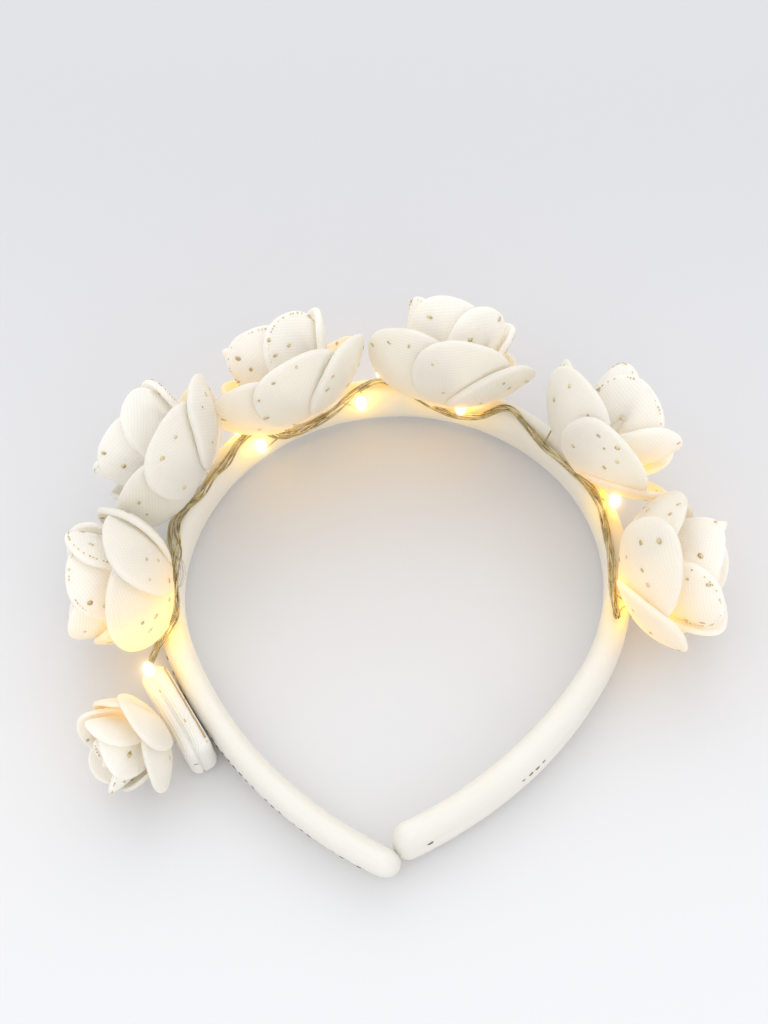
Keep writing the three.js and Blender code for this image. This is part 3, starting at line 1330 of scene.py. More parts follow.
WHORLS = {
    Whorl.OUTER: WhorlShape(5, 26, 13.8, 2.5, 1.1, 4, 70, 36, 300, 0.14, 0, 14, 4.0, 60),
    Whorl.INNER: WhorlShape(5, 25.5, 12, 2.6, 5.2, 38, 92, 18, 300, 0.18, 36, 8, 3.4, 52),
    Whorl.BUD: WhorlShape(3, 17, 7, 1.5, 9.0, 68, 96, 6, 250, 0.25, 20, 0, 2.0, 40),
}


@dataclass(frozen=True)
class Pose:
    """How a flower sits.

    Attributes:
        along: Its place along the band.
        size: Its size beside the others.
        spin: Its turn about its axis, in degrees.
        lean: How far its axis points up from the band, in degrees.
        opened: How much less its outer petals close, in degrees.
        press_right: How far what is beside it pushes its right petals up, in degrees.
        press_left: The same for its left petals.
        press_below: The same for its lower petals.
        back: How far its hub lies back over the band's inner edge.
        raised: How far its hub lies up on its lower petals.
        on_case: Whether it sits on the battery case.
    """

    along: float
    size: float
    spin: float
    lean: float
    opened: float
    press_right: float
    press_left: float
    press_below: float
    back: float
    raised: float
    on_case: bool = False


POSES = (
    Pose(138, 0.7, -10, 15, 0, 20, 0, 26, 0, 0, on_case=True),
    Pose(104, 1, 4, 8, -14, 6, 0, 21.7, 5, 10.5),
    Pose(71, 1, -18, 18, 8, 2, 2, 21.2, 4.5, 14.6),
    Pose(33, 1, -8, 28, 12, 0, 0, 23.5, 9, 17.4),
    Pose(-13, 1, 24, 25, 8, 0, 0, 25.4, 10, 17.6),
    Pose(-61, 1, -14, 16, 14, 0, 2, 24.2, 6, 15.4),
    Pose(-97, 1, -34, 8, -12, 0, 2, 23.8, 3, 9.8),
)


@dataclass(frozen=True)
class CaseSize:
    """Sizes of the battery case.

    Attributes:
        along: Its place along the band.
        length: Its size along the band.
        thickness: How far it stands out.
        width: How high it stands.
        rounding: Radius of its edges.
    """

    along: float = 136.0
    length: float = 28.0
    thickness: float = 7.5
    width: float = 16.0
    rounding: float = 2.5


# Room between solids that lie on each other
GAP = 0.3

# Rows of a petal: shares of the way to its rim, and then angles round the rim's edge, in degrees
FACE_ROWS = (0.12, 0.25, 0.38, 0.5, 0.62, 0.72, 0.81, 0.89)
RIM_ROWS = (90, 68, 46, 23, 0, -23, -46, -68, -90)

# Rows of a hub's upper half: shares of its radius and of its half height
HUB_ROWS = ((0.45, 1.0), (0.8, 1.0), (0.95, 0.8), (1.0, 0.4))


@dataclass
class Flower:
    """One foam flower of three whorls, with its glitter.

    Attributes:
        number: Its number along the band, from the left.
        pose: How it sits.
        hoop: The band's line and section.
        case: The battery case that the first flower sits on.
        maker: Makes its meshes.
        sheet: Thickness of the foam.
        widest_at: Share of a petal's length where it is widest.
        narrowing: How much narrower its base is.
        squareness: Power that squares off a petal's outline.
        seat_slide: How far up the band's slope its hub sits.
        hub_height: Height of a hub.
        fleck_apart: Least distance between glitter flecks.
        fleck_radius: Half width of a fleck.
        dot_spacing: Distance between the dots along a rim.
        dot_radius: Half width of a dot.
        dot_stretch: Length of a dot beside its width.
        dot_share: Share of the dots that show.
        dot_reach: Share of the way to the rim where the dots lie.
        dot_sweep: How far round the petal the dots go from its tip, in degrees.
    """

    number: int
    pose: Pose
    hoop: Hoop
    case: CaseSize
    maker: Maker
    sheet: float = 1.8
    widest_at: float = 0.55
    narrowing: float = 0.14
    squareness: float = 0.88
    seat_slide: float = 3.0
    hub_height: float = 2.0
    fleck_apart: float = 3.5
    fleck_radius: float = 0.85
    dot_spacing: float = 0.9
    dot_radius: float = 0.27
    dot_stretch: float = 1.4
    dot_share: float = 0.6
    dot_reach: float = 0.915
    dot_sweep: float = 128.0

    def seat(self) -> tuple[float, float]:
        """Where the hub sits.

        Returns:
            The distances outward and upward of the band's middle.
        """
        lean = math.radians(self.pose.lean)
        if self.pose.on_case:
            case = self.case
            out = self.hoop.thickness / 2 + 3 * GAP + case.thickness
            out -= case.rounding * (1 - math.cos(lean))
            return out, case.width / 2 - case.rounding * (1 - math.sin(lean))
        ahead, aside = math.cos(lean), math.sin(lean)
        corners = [self.hoop.section(360.0 * side / 12) for side in range(12)]
        top = max(corners, key=lambda corner: corner[0] * ahead + corner[1] * aside)
        slide = self.seat_slide - top[1] * ahead + top[0] * aside
        return top[0] - slide * aside, top[1] + slide * ahead

    def basis(self) -> tuple[Points, Points]:
        """How the flower lies.

        Returns:
            Its directions as columns, and its place.
        """
        place = self.hoop.place(self.pose.along)
        lean = math.radians(self.pose.lean)
        axis = place.outward * math.cos(lean) + place.upward * math.sin(lean)
        front = place.upward * math.cos(lean) - place.outward * math.sin(lean)
        out, up = self.seat()
        position = place.point + place.outward * out + place.upward * up
        position = position + axis * (2 * GAP - self.pose.back) + front * self.pose.raised
        return np.column_stack([front, np.cross(axis, front), axis]), position

    def press(self, whorl: Whorl, angle: float) -> float:
        """How far a petal is pushed up by what is beside it.

        Args:
            whorl: The whorl that it is in.
            angle: Its turn about the axis, in degrees.

        Returns:
            The push, in degrees.
        """
        if whorl is not Whorl.OUTER:
            return 0.0
        pose = self.pose
        sideways, ahead = math.sin(math.radians(angle)), math.cos(math.radians(angle))
        beside = pose.press_right * sideways if sideways > 0 else -pose.press_left * sideways
        return beside + pose.press_below * max(-ahead, 0.0)

    def bent(self, whorl: Whorl, flat: Points, angle: float, lift: Points) -> Points:
        """Bends flat petal points into the cup.

        Args:
            whorl: The whorl that the petal is in.
            flat: Points along and across the flat petal.
            angle: The petal's turn about the axis, in degrees.
            lift: How far each point is off the petal's middle face, towards the axis.

        Returns:
            The points about the flower's axis.
        """
        shape = WHORLS[whorl]
        opened = self.pose.opened if whorl is Whorl.OUTER else 0.0
        base = math.radians(shape.rise_at_base + self.press(whorl, angle))
        bend = math.radians(shape.rise_at_tip - shape.rise_at_base - opened) / shape.length
        along, across = flat[..., 0], flat[..., 1]
        rise = base + bend * along
        radius = shape.start + (np.sin(rise) - math.sin(base)) / bend
        height = shape.height - (np.cos(rise) - math.cos(base)) / bend
        curve = np.maximum(radius, shape.wrap_radius)
        hollow = curve * (1 - np.cos(across / curve))
        inward = across * (shape.twist + across / shape.cup_radius) + hollow + lift
        reach, aside = radius - inward * np.sin(rise), curve * np.sin(across / curve)
        ahead, beside = math.cos(math.radians(angle)), math.sin(math.radians(angle))
        level = height + inward * np.cos(rise)
        front, right = reach * ahead - aside * beside, reach * beside + aside * ahead
        return np.stack([front, right, level], axis=-1)

    def outline(self, whorl: Whorl, reach: Points, around: Points) -> Points:
        """Points of a flat petal.

        Args:
            whorl: The whorl that it is in.
            reach: Each point's share of the way to the rim.
            around: Each point's angle about the petal's middle, 0 at its tip.

        Returns:
            The points along and across the petal.
        """
        shape = WHORLS[whorl]
        ahead, aside = np.cos(around), np.sin(around)
        forward = reach * np.sign(ahead) * np.abs(ahead) ** self.squareness
        share = np.where(forward > 0, 1 - self.widest_at, self.widest_at)
        along = shape.length * (self.widest_at + share * forward)
        across = reach * np.sign(aside) * np.abs(aside) ** self.squareness
        slim = 1 - self.narrowing * ((1 - ahead) / 2) ** 2
        return np.stack([along, shape.half_width * across * slim], axis=-1)

    def placed(self, points: Points) -> Points:
        """Points about the flower's axis, put on the headband."""
        turn, position = self.basis()
        return self.pose.size * points @ turn.T + position

    def petal_angle(self, whorl: Whorl, petal: int) -> float:
        """A petal's turn about the axis.

        Args:
            whorl: The whorl that it is in.
            petal: Its number in the whorl.

        Returns:
            The turn, in degrees.
        """
        shape = WHORLS[whorl]
        turn = (shape.turn + 360.0 * petal / shape.petals + 180.0) % 360.0 - 180.0
        return turn - shape.crowd * float(np.sign(turn)) + self.pose.spin

    def petal(self, whorl: Whorl, petal: int) -> Shell:
        """One petal with a rounded rim and a slightly uneven face.

        Args:
            whorl: The whorl that it is in.
            petal: Its number in the whorl.

        Returns:
            The closed shell.
        """
        shape = WHORLS[whorl]
        chance = random.Random(1000 * self.number + 100 * list(Whorl).index(whorl) + petal)
        half = self.sheet / 2
        face = list(FACE_ROWS)
        rim = [math.radians(angle) for angle in RIM_ROWS]
        curl = half / (shape.length / 2)
        rim_reach = [1 - curl * (1 - math.cos(angle)) for angle in rim]
        rim_lift = [half * math.sin(angle) for angle in rim]
        reach = np.array(face + rim_reach + face[::-1])
        lift = np.array([half] * len(face) + rim_lift + [-half] * len(face))
        around = np.linspace(0, TURN, shape.segments + 1)
        ring_reach, ring_around = np.meshgrid(reach, around, indexing="ij")
        flat = self.outline(whorl, ring_reach, ring_around)
        wave = chance.uniform(0.2, 0.45) * np.sin(2 * ring_around + chance.uniform(0, TURN))
        wave = wave + chance.uniform(0.08, 0.2) * np.sin(5 * ring_around + chance.uniform(0, TURN))
        uneven = wave * ring_reach**3
        angle = self.petal_angle(whorl, petal)
        points = self.placed(self.bent(whorl, flat, angle, lift[:, None] + uneven))
        middle = np.array([[shape.length * self.widest_at, 0.0]])
        poles = [
            self.placed(self.bent(whorl, middle, angle, np.array([side])))[0]
            for side in (half, -half)
        ]
        slant = math.radians(chance.uniform(55, 125))
        turn = np.array([[math.cos(slant), math.sin(slant)], [-math.sin(slant), math.cos(slant)]])
        shift = np.array([chance.uniform(0, 90), chance.uniform(0, 90)])
        sheet, sheet_middle = flat @ turn + shift, (middle @ turn + shift)[0]
        return Shell(points[:, :-1], tuple(poles), sheet, (sheet_middle, sheet_middle), reach)

    def hub(self, whorl: Whorl) -> Shell:
        """The round foam pad that holds a whorl's petals.

        Args:
            whorl: The whorl.

        Returns:
            The closed shell.
        """
        shape = WHORLS[whorl]
        half = self.hub_height / 2
        upper = list(HUB_ROWS)
        profile = upper + [(share, -rise) for share, rise in reversed(upper)]
        around = np.linspace(0, TURN, 25)
        circle = np.column_stack([np.cos(around), np.sin(around), np.zeros(len(around))])
        rings = np.array(
            [
                share * shape.hub * circle + UP * (shape.height + rise * half)
                for share, rise in profile
            ]
        )
        poles = np.array([[0.0, 0.0, shape.height + half], [0.0, 0.0, shape.height - half]])
        return Shell(
            self.placed(rings[:, :-1]),
            tuple(self.placed(poles)),
            rings[..., :2],
            (poles[0, :2], poles[1, :2]),
            np.full(len(profile), 0.5),
        )

    def petals(self, whorl: Whorl) -> bpy.types.Object:
        """A whorl's petals and hub as one piece.

        Args:
            whorl: The whorl.

        Returns:
            The finished piece.
        """
        shells = [self.petal(whorl, petal) for petal in range(WHORLS[whorl].petals)]
        # The inner whorl and bud take the paler foam, painted light from above
        finish = FOAM if whorl is Whorl.OUTER else LIT_INNER_FOAM
        place = f"{self.number}_{whorl.value}"
        piece = self.maker.mesh(f"petals_{place}", [*shells, self.hub(whorl)], finish)
        return self.maker.settle(piece, "foam", f"flower_{place}")

    def flecks(self, petals: bpy.types.Object, whorl: Whorl) -> None:
        """Scatters glitter flecks over a whorl's petals.

        Args:
            petals: The whorl's finished petals.
            whorl: The whorl.
        """
        name = f"flecks_{self.number}_{whorl.value}"
        sizes = {"Apart": self.fleck_apart, "Radius": self.fleck_radius}
        seed = 10 * self.number + list(Whorl).index(whorl)
        self.maker.sprinkle(petals, name, sizes, seed, "foam")

    def rim_line(self, whorl: Whorl, petal: int) -> Points:
        """A line just inside a petal's rim, on the outer face of an inner petal, else the inner.

        Args:
            whorl: The whorl that the petal is in.
            petal: Its number in the whorl.

        Returns:
            The points of the line.
        """
        around = np.radians(np.linspace(-self.dot_sweep, self.dot_sweep, 60))
        flat = self.outline(whorl, np.full(60, self.dot_reach), around)
        side = -1 if whorl is Whorl.INNER else 1
        lift = np.full(60, side * (self.sheet / 2 + 0.05))
        return self.placed(self.bent(whorl, flat, self.petal_angle(whorl, petal), lift))

    def rim_dots(self) -> None:
        """Sets dotted glitter lines along the rims of some petals of the inner whorl and bud."""
        lines = [
            self.rim_line(whorl, petal)
            for whorl in (Whorl.INNER, Whorl.BUD)
            for petal in range(self.number % 2, WHORLS[whorl].petals, 2)
        ]
        values = {
            "Spacing": self.dot_spacing * MM,
            "Radius": self.dot_radius * MM,
            "Stretch": self.dot_stretch,
            "Share": self.dot_share,
            "Seed": self.number,
            "Finish": GLITTER,
        }
        beads = self.maker.trees.beads
        self.maker.follow(beads, f"rim_dots_{self.number}", lines, values, "foam")

    def build(self) -> None:
        """Builds the flower's pieces."""
        for whorl in Whorl:
            petals = self.petals(whorl)
            if whorl is not Whorl.BUD:
                self.flecks(petals, whorl)
        self.rim_dots()


# Wires and lights


# Points of the bundle: angle along the crown and angle around the section, in degrees
WIRE_ROUTE = (
    (-103, 84), (-97, 100), (-91, 108), (-85, 110), (-77, 108), (-69.5, 100), (-64, 104),
    (-57.5, 116), (-51, 124), (-45, 128), (-38.5, 116), (-32, 98), (-28.5, 104), (-23, 150),
    (-15.5, 168), (-10.5, 162), (-6, 148), (0, 120), (5.5, 92), (9, 92), (14, 112), (19, 140),
    (24, 162), (30.5, 172), (38.5, 158), (43, 122), (46.5, 106), (50.5, 108), (57.5, 120),
    (64, 118), (70.5, 120), (76, 98), (80.5, 90), (88, 104), (94, 110), (99.5, 112), (104, 110),
    (108, 100), (111, 80),
)

# Lights: angle along the crown, angle around the section, and distance off the band
LAMPS = (
    (-98, 66, 2.0), (-69, 66, 0.5), (-16.5, 142, 0.4), (-8, 127, 0.4), (6.5, 60, 0.4),
    (13, 146, 0.4), (38.4, 122, 0.4), (47.5, 74, 0.4), (45.5, 150, 0.4), (110, 72, 0.8),
    (120.7, 42, 6.8),
)

# Free ends of wire: angle along the crown, length outward and rise
TAILS = ((47, 3.5, 5.0), (70.5, 4.0, 3.0), (108, 6.0, 2.5), (-44, 3.0, 3.5))

# Knots between which each round of blending works, for a curve through four points
SPANS = (((0, 1), (1, 2), (2, 3)), ((0, 2), (1, 3)), ((1, 2),))


def smooth_path(points: Points, per_span: int) -> Points:
    """A smooth curve through points.

    Args:
        points: The points that it passes.
        per_span: Steps between two of them.

    Returns:
        The curve's points.
    """
    ends = np.vstack([2 * points[0] - points[1], points, 2 * points[-1] - points[-2]])
    curve: list[Points] = []
    for start in range(len(points) - 1):
        four = ends[start : start + 4]
        gaps = np.sqrt(np.linalg.norm(np.diff(four, axis=0), axis=1))
        knots = np.concatenate([[0.0], np.cumsum(gaps)])
        for place in np.linspace(knots[1], knots[2], per_span, endpoint=False):
            row = list(four)
            for pairs in SPANS:
                row = [
                    (row[k] * (knots[high] - place) + row[k + 1] * (place - knots[low]))
                    / (knots[high] - knots[low])
                    for k, (low, high) in enumerate(pairs)
                ]
            curve.append(row[0])
    return np.array([*curve, points[-1]])


@dataclass
class LightWire:
    """The bundle of thin wires along the band, its lights and a clear tie.

    Attributes:
        hoop: The band's line and section.
        case: The battery case that the bundle runs into.
        maker: Makes its meshes.
        radius: Radius of the bundle.
        off: How far the bundle is off the band.
        lead: Length of the straight end at the case.
        strands: How many wires.
        strand_radius: Half thickness of a wire.
        strand_away: Usual distance of a wire from the bundle's middle.
        strand_swell: How much that distance changes along the bundle.
        strand_wander: How uneven the twist is, in radians.
        pitch: Length of a turn of the bundle's twist.
        lamp_radius: Half thickness of a light.
        lamp_length: Length of a light.
        loose_at: Angle along the crown where the strands part, in degrees.
        loose_length: Half length of the stretch where they part.
        loose_spread: How much further out they stand there.
        lead_radius: Half thickness of the fine wires at a light.
        lead_steps: How many points along the bundle each of them starts from the light.
        lead_apart: Half distance between the two.
        tie_at: Angle along the crown of the clear tie, in degrees.
        tie_length: Half length of the tie's loops.
        tie_loops: Half width of each loop, and its turn about the bundle in radians.
        tie_radius: Half thickness of the tie.
        middle_around: Usual angle of the bundle around the section, in degrees.
    """

    hoop: Hoop
    case: CaseSize
    maker: Maker
    radius: float = 1.1
    off: float = 0.7
    lead: float = 3.0
    strands: int = 6
    strand_radius: float = 0.25
    strand_away: float = 0.82
    strand_swell: float = 0.24
    strand_wander: float = 0.6
    pitch: float = 46.0
    lamp_radius: float = 1.6
    lamp_length: float = 5.6
    loose_at: float = 84.0
    loose_length: float = 7.0
    loose_spread: float = 1.1
    lead_radius: float = 0.24
    lead_steps: int = 9
    lead_apart: float = 0.45
    tie_at: float = 95.0
    tie_length: float = 4.6
    tie_loops: tuple[tuple[float, float], ...] = ((2.3, 0.0), (2.0, 0.5))
    tie_radius: float = 0.34
    middle_around: float = 105.0

    def beside(self, angle: float, around: float) -> Points:
        """A point of the bundle's middle line, by its angles along the crown and around."""
        return self.hoop.over(angle, around, self.radius + self.off)

    def nearest(self, path: Points, angle: float) -> int:
        """Number of the path's point that is nearest to an angle along the crown."""
        point = self.beside(angle, self.middle_around)
        return int(np.argmin(np.linalg.norm(path - point, axis=1)))

    def path(self) -> Points:
        """The middle line of the bundle.

        Returns:
            Its points, from its far end to the case.
        """
        points = [self.beside(angle, around) for angle, around in WIRE_ROUTE]
        place = self.hoop.place(self.case.along)
        end = place.point + place.outward * ((self.hoop.thickness + self.case.thickness) / 2 + GAP)
        end = end - place.travel * (self.case.length / 2 + GAP)
        return smooth_path(np.array([*points, end - place.travel * self.lead, end]), 16)

    def frames(self, path: Points) -> tuple[Points, Points, Points]:
        """Directions along the bundle.

        Args:
            path: Its middle line.

        Returns:
            Two directions square to the path at each of its points, and the length so far.
        """
        along = np.gradient(path, axis=0)
        along /= np.linalg.norm(along, axis=1, keepdims=True)
        first = [unit(np.cross(along[0], UP))]
        for direction in along[1:]:
            first.append(unit(first[-1] - direction * np.dot(first[-1], direction)))
        sides = np.array(first)
        steps = np.linalg.norm(np.diff(path, axis=0), axis=1)
        length = np.concatenate([[0.0], np.cumsum(steps)])
        return sides, np.cross(along, sides), length

    def strand(
        self,
        name: str,
        paths: Iterable[Points],
        radius: float,
        sides: int,
        finish: Finish,
        *nodes: str,
    ) -> None:
        """Lays strands along lines.

        Args:
            name: The piece's name.
            paths: The points of each line, in millimetres.
            radius: Half thickness of a strand.
            sides: Corners around it.
            finish: Its finish.
            nodes: The solids that the piece stands for.
        """
        values = {"Radius": radius * MM, "Sides": sides, "Finish": finish}
        self.maker.follow(self.maker.trees.strands, name, paths, values, "wire", *nodes)

    def bundle(self) -> None:
        """Makes the twisted wires."""
        path = self.path()
        side, up, length = self.frames(path)
        loose = length[self.nearest(path, self.loose_at)]
        chance = random.Random(11)
        lines: list[Points] = []
        for strand in range(self.strands):
            phase = TURN * strand / self.strands + chance.uniform(-0.3, 0.3)
            drift, swell = chance.uniform(0, TURN), chance.uniform(0.05, 0.08)
            wander = self.strand_wander * np.sin(length * 0.11 + drift)
            turn = phase + TURN * length / self.pitch + wander
            away = self.strand_away + self.strand_swell * np.sin(length * swell + drift)
            away = away * np.minimum(1.0, 0.55 + (length[-1] - length) / 20)
            parted = np.exp(-(((length - loose) / self.loose_length) ** 2))
            away = away * (1 + self.loose_spread * parted)
            across, over = (away * np.cos(turn))[:, None], (away * np.sin(turn))[:, None]
            lines.append(path + side * across + up * over)
        self.strand("wire_bundle", lines, self.strand_radius, 8, WIRE, "light_wire")

    @classmethod
    def lamp_centres(cls, hoop: Hoop) -> Points:
        """Middles of the lights, which lie on the band."""
        radius = cls.lamp_radius
        return np.array([hoop.over(angle, around, radius + off) for angle, around, off in LAMPS])

    def lamps(self) -> None:
        """Makes the lit drops."""
        rise = UP * (self.lamp_length / 2)
        middles = self.lamp_centres(self.hoop)
        lines = [np.array([middle - rise, middle + rise]) for middle in middles]
        values = {"Radius": self.lamp_radius * MM, "Sides": 16, "Finish": LAMP}
        nodes = [f"led_{number + 1:02d}" for number in range(len(LAMPS))]
        self.maker.follow(self.maker.trees.drops, "lit_drops", lines, values, "lamp", *nodes)

    def leads(self) -> None:
        """Makes the pairs of fine wires that join each light to the bundle, and the free ends."""
        path = self.path()
        lines: list[Points] = []
        for middle in self.lamp_centres(self.hoop):
            foot = middle - UP * (self.lamp_length / 2 - 0.5)
            nearest = int(np.argmin(np.linalg.norm(path - foot, axis=1)))
            for way in (-1, 1):
                start = path[min(max(nearest + way * self.lead_steps, 0), len(path) - 1)]
                across = unit(np.cross(foot - start, UP)) * way * self.lead_apart
                bow = (start + foot) / 2 + across + UP * 0.5
                lines.append(smooth_path(np.array([start, bow, foot + across * 0.5]), 8))
        lines.extend(self.tails(path))
        self.strand("light_leads", lines, self.lead_radius, 6, WIRE)

    def tails(self, path: Points) -> list[Points]:
        """Short free ends of wire that stand off the bundle.

        Args:
            path: The bundle's middle line.

        Returns:
            The points of each end.
        """
        ends: list[Points] = []
        for angle, length, rise in TAILS:
            start = path[self.nearest(path, angle)]
            out = unit(start * np.array([1.0, 1.0, 0.0]))
            bend = start + out * length * 0.5 + UP * rise * 0.35
            ends.append(smooth_path(np.array([start, bend, start + out * length + UP * rise]), 8))
        return ends

    def tie(self) -> None:
        """Makes the clear loop that holds the bundle together."""
        path = self.path()
        side, up, _ = self.frames(path)
        middle = self.nearest(path, self.tie_at)
        travel = unit(path[middle + 2] - path[middle - 2])
        around = np.linspace(0, TURN, 40)
        stretch = np.outer(self.tie_length * np.cos(around), travel)
        loops: list[Points] = []
        for radius, turn in self.tie_loops:
            swing = side[middle] * math.cos(turn) + up[middle] * math.sin(turn)
            loops.append(path[middle] + stretch + np.outer(radius * np.sin(around), swing))
        self.strand("clear_loop", loops, self.tie_radius, 8, CLEAR)

    def build(self) -> None:
        """Builds the wires and lights."""
        self.bundle()
        self.leads()
        self.tie()
        self.lamps()


@dataclass
class BatteryCase:
    """The flat ivory case on the left leg, with its split line, a brown line of painted shadow
    beside the band, and flecks.

    Attributes:
        size: Its sizes.
        hoop: The band that it sits on.
        maker: Makes its meshes.
        corners: Corners around its outline.
        face_inset: How far inside its rounding its faces are first divided.
        groove: Depth of the split line between its halves.
        gap_shadow_radius: Half thickness of the brown line of painted shadow.
        fleck_apart: Least distance between glitter flecks.
        fleck_radius: Half width of a fleck.
        fleck_seed: Seed of the flecks' places.
    """

    size: CaseSize
    hoop: Hoop
    maker: Maker
    corners: int = 96
    face_inset: float = 2.2
    groove: float = 0.35
    gap_shadow_radius: float = 0.26
    fleck_apart: float = 6.5
    fleck_radius: float = 0.6
    fleck_seed: int = 5

    def outline(self, inset: float) -> Points:
        """The rounded outline of the case.

        Args:
            inset: How far it is set in from the full size.

        Returns:
            Its points along and up.
        """
        half_length, half_width = self.size.length / 2 - inset, self.size.width / 2 - inset
        bend = max(self.size.rounding - inset * 0.5, 0.3)
        around = np.linspace(0, TURN, self.corners, endpoint=False)
        power = 0.22 + 0.1 * bend / self.size.rounding
        along = half_length * np.sign(np.cos(around)) * np.abs(np.cos(around)) ** power
        up = half_width * np.sign(np.sin(around)) * np.abs(np.sin(around)) ** power
        return np.column_stack([along, up])

    def shell(self) -> bpy.types.Object:
        """The two halves of the case.

        Returns:
            The finished piece.
        """
        size, place = self.size, self.hoop.place(self.size.along)
        middle = place.point + place.outward * ((self.hoop.thickness + size.thickness) / 2 + GAP)
        half, bend = size.thickness / 2, size.rounding
        turns = [math.radians(angle) for angle in (8, 20, 35, 50, 65, 80, 90)]
        rise = [
            (-half + bend * (1 - math.cos(turn)), bend * (1 - math.sin(turn))) for turn in turns
        ]
        split = [(0.6, 0.0), (0.75, self.groove), (1.05, self.groove), (1.2, 0.0)]
        fall = [(-level, inset) for level, inset in reversed(rise)]
        inner = bend + self.face_inset
        levels = [(-half, inner), *rise, *split, *fall, (half, inner)]
        rings: list[Points] = []
        sheet: list[Points] = []
        for number, (level, inset) in enumerate(levels):
            flat = self.outline(inset)
            along, up = np.outer(flat[:, 0], place.travel), np.outer(flat[:, 1], place.upward)
            rings.append(middle + place.outward * level + along + up)
            sheet.append(np.vstack([flat, flat[:1]]) + (0.0, level + 0.5 * number))
        ends = (middle - place.outward * half, middle + place.outward * half)
        reach = np.full(len(levels), 0.5)
        shell = Shell(np.array(rings), ends, np.array(sheet), (np.zeros(2), np.zeros(2)), reach)
        case = self.maker.mesh("battery_shell", [shell], MOULDED)
        return self.maker.settle(case, "casing", "battery_case")

    def gap_shadow(self) -> None:
        """Makes a brown strand along the case's upper edge beside the band, a painted shadow of the
        gap between them.
        """
        size, place = self.size, self.hoop.place(self.size.along)
        inset = size.rounding * (1 - math.sqrt(0.5)) - 0.05
        out, up = self.hoop.thickness / 2 + GAP + inset, size.width / 2 - inset
        middle = place.point + place.outward * out + place.upward * up
        steps = np.linspace(-1.0, 1.0, 40)
        line = middle + np.outer(steps * (size.length / 2 - size.rounding), place.travel)
        line = line + np.outer(0.06 * np.sin(steps * 19.0), place.upward)
        values = {"Radius": self.gap_shadow_radius * MM, "Sides": 8, "Finish": GAP_SHADOW_STRAND}
        self.maker.follow(self.maker.trees.strands, "case_gap_shadow", [line], values, "casing")

    def build(self) -> None:
        """Builds the case's pieces."""
        case = self.shell()
        self.gap_shadow()
        sizes = {"Apart": self.fleck_apart, "Radius": self.fleck_radius}
        self.maker.sprinkle(case, "case_flecks", sizes, self.fleck_seed, "casing")


# Studio


@dataclass(frozen=True)
class FloorFinish(Finish):
    """A pale sweep, darker towards the far side with painted shade."""

    # Painted shade of the far side, where less light falls
    far: Colour = (0.63, 0.63, 0.65, 1.0)

    def sockets(self, board: Board) -> dict[str, Any]:
        """Painted shade: a slow darkening from the near side to the far side."""
        share = board.between(board.parts(board.where()).output("Y"), -0.12, 0.2)
        return {"Base Color": board.mix(share, self.colour, self.far), "Specular IOR Level": 0.1}


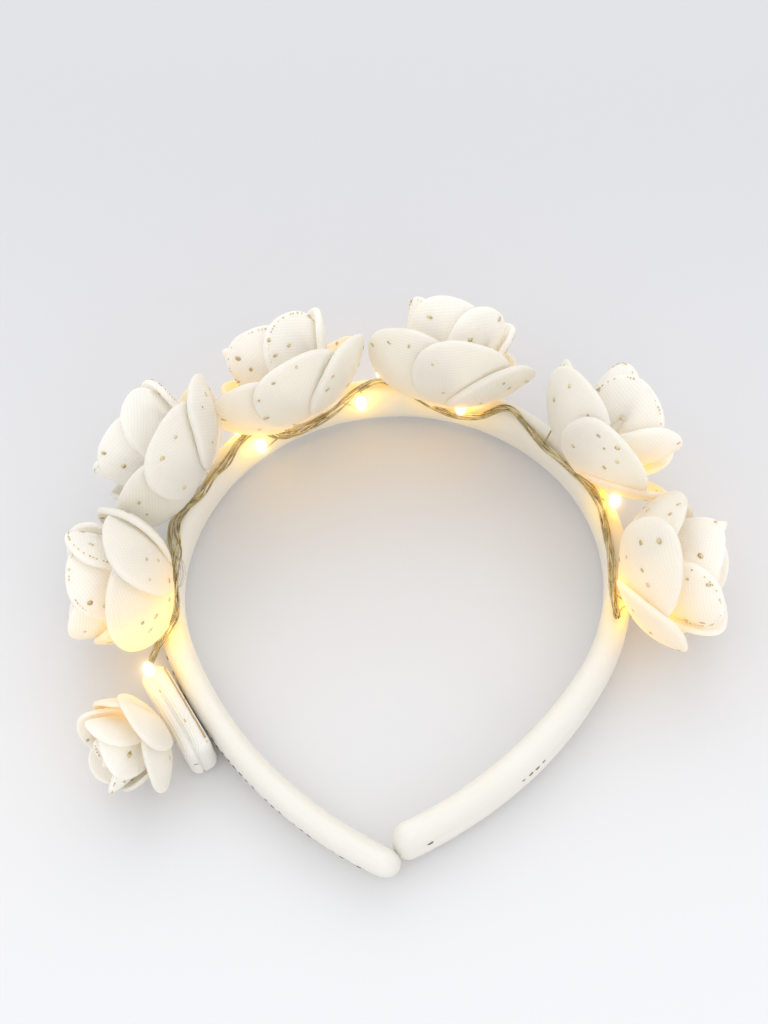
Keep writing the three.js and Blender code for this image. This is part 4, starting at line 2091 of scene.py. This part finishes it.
@dataclass(frozen=True)
class Studio:
    """The floor, the lights and the camera.

    Attributes:
        maker: Gives the hoop's place in the frame.
        right: The picture's right, from the middle of the crown arc.
        up: The picture's up.
        back: The way towards the camera.
        distance: Camera's distance in millimetres.
        focal_px: Focal length in pixels of the picture.
        aim_px: Where the line of sight to the middle of the crown arc meets the picture.
        sensor: Size of the camera's sensor in millimetres.
        floor_reach: Half width of the floor in metres.
        aim_height: Height in metres that the lights face.
        surround: Strength of the pale surroundings.
        bloom_from: Brightness above which light spreads in the picture.
        bloom_strength: How strongly it spreads.
        bloom_size: How far it spreads.
    """

    maker: Maker
    right: tuple[float, float, float] = (0.997, 0.065, -0.037)
    up: tuple[float, float, float] = (-0.038, 0.866, 0.498)
    back: tuple[float, float, float] = (0.064, -0.496, 0.866)
    distance: float = 505.8
    focal_px: float = 1889.67
    aim_px: tuple[float, float] = (392.8, 580.4)
    sensor: float = 36.0
    floor_reach: float = 3.0
    aim_height: float = 0.02
    surround: float = 1.05
    bloom_from: float = 1.15
    bloom_strength: float = 1.7
    bloom_size: float = 0.45

    def camera(self) -> None:
        """Sets the camera at the picture's angle."""
        data = bpy.data.cameras.new("camera")
        data.sensor_fit = "AUTO"
        data.sensor_width = self.sensor
        data.lens = self.focal_px / PHOTO_PX[1] * self.sensor
        data.clip_start, data.clip_end = 0.01, 20.0
        turn = Matrix((self.right, self.up, self.back)).transposed()
        offset = Vector(
            (
                (PHOTO_PX[0] / 2 - self.aim_px[0]) / self.focal_px,
                -(PHOTO_PX[1] / 2 - self.aim_px[1]) / self.focal_px,
                -1.0,
            )
        )
        aimed = Vector((0.0, 0.0, -1.0)).rotation_difference(offset).to_matrix()
        made = bpy.data.objects.new("camera", data)
        bpy.context.scene.collection.objects.link(made)
        spot = self.maker.origin + Vector(self.back) * self.distance * MM
        made.matrix_world = Matrix.Translation(spot) @ (turn @ aimed).to_4x4()
        bpy.context.scene.camera = made

    def floor(self) -> None:
        """Lays the pale floor under the headband."""
        finish = FloorFinish("pale_sweep", (0.775, 0.775, 0.785, 1.0), 0.9)
        data = bpy.data.meshes.new("floor")
        reach = self.floor_reach
        corners = [(-reach, -reach), (reach, -reach), (reach, reach), (-reach, reach)]
        data.from_pydata([(x, y, 0.0) for x, y in corners], [], [(0, 1, 2, 3)])
        data.materials.append(finish.material())
        self.maker.link("floor", data)

    def panel(
        self,
        name: str,
        spot: tuple[float, float, float],
        size: float,
        watts: float,
        tint: tuple[float, float, float],
    ) -> None:
        """A square soft light that faces the headband.

        Args:
            name: The light's name.
            spot: Its place in metres.
            size: Length of its side.
            watts: Its strength.
            tint: Its colour.
        """
        data = bpy.data.lights.new(name, "AREA")
        data.shape, data.size, data.energy, data.color = "SQUARE", size, watts, tint
        made = bpy.data.objects.new(name, data)
        bpy.context.scene.collection.objects.link(made)
        facing = (Vector((0.0, 0.0, self.aim_height)) - Vector(spot)).to_track_quat("-Z", "Y")
        made.matrix_world = Matrix.Translation(spot) @ facing.to_matrix().to_4x4()

    def lights(self) -> None:
        """Sets the soft lights, the pale surroundings and the plain view."""
        self.panel("back_panel", (-0.1, 0.8, 0.85), 1.2, 2.8, (1.0, 0.99, 0.97))
        self.panel("left_panel", (-0.8, -0.35, 0.8), 0.9, 0.6, (1.0, 0.98, 0.95))
        self.panel("right_panel", (0.55, -0.85, 0.5), 0.9, 1.8, (1.0, 0.98, 0.95))
        world = bpy.data.worlds.new("surroundings")
        world.use_nodes = True
        world.node_tree.nodes.clear()
        board = Board(world.node_tree)
        sockets = {"Color": (0.97, 0.98, 1.0, 1.0), "Strength": self.surround}
        glow = board.add("ShaderNodeBackground", sockets=sockets)
        board.add("ShaderNodeOutputWorld", sockets={"Surface": glow})
        bpy.context.scene.world = world
        bpy.context.scene.view_settings.view_transform = "Standard"

    def bloom(self) -> None:
        """Lets the lit drops spread a little in the picture."""
        scene = bpy.context.scene
        scene.use_nodes = True
        scene.node_tree.nodes.clear()
        board = Board(scene.node_tree)
        picture = board.add("CompositorNodeRLayers")
        settings = {"glare_type": "BLOOM", "quality": "HIGH"}
        sockets = {
            "Image": picture,
            "Threshold": self.bloom_from,
            "Strength": self.bloom_strength,
            "Size": self.bloom_size,
        }
        spread = board.add("CompositorNodeGlare", settings, sockets)
        board.add("CompositorNodeComposite", sockets={"Image": spread})


def main() -> None:
    """Builds the headband's pieces in order and reports them."""
    logging.basicConfig(level=logging.INFO, format="%(message)s")
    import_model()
    hoop, case = Hoop(), CaseSize()
    low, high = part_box("band")
    origin = Vector(
        (
            (low.x + high.x) / 2,
            high.y - (hoop.head_radius + hoop.thickness) * MM,
            high.z - hoop.width / 2 * MM,
        )
    )
    maker = Maker(origin, LightWire.lamp_centres(hoop), Trees())
    studio = Studio(maker)
    studio.camera()
    band = Band(hoop, maker)
    band.cover()
    band.thread()
    for number, pose in enumerate(POSES, 1):
        Flower(number, pose, hoop, case, maker).build()
    LightWire(hoop, case, maker).build()
    BatteryCase(case, hoop, maker).build()
    studio.floor()
    studio.lights()
    studio.bloom()


if __name__ == "__main__":
    main()
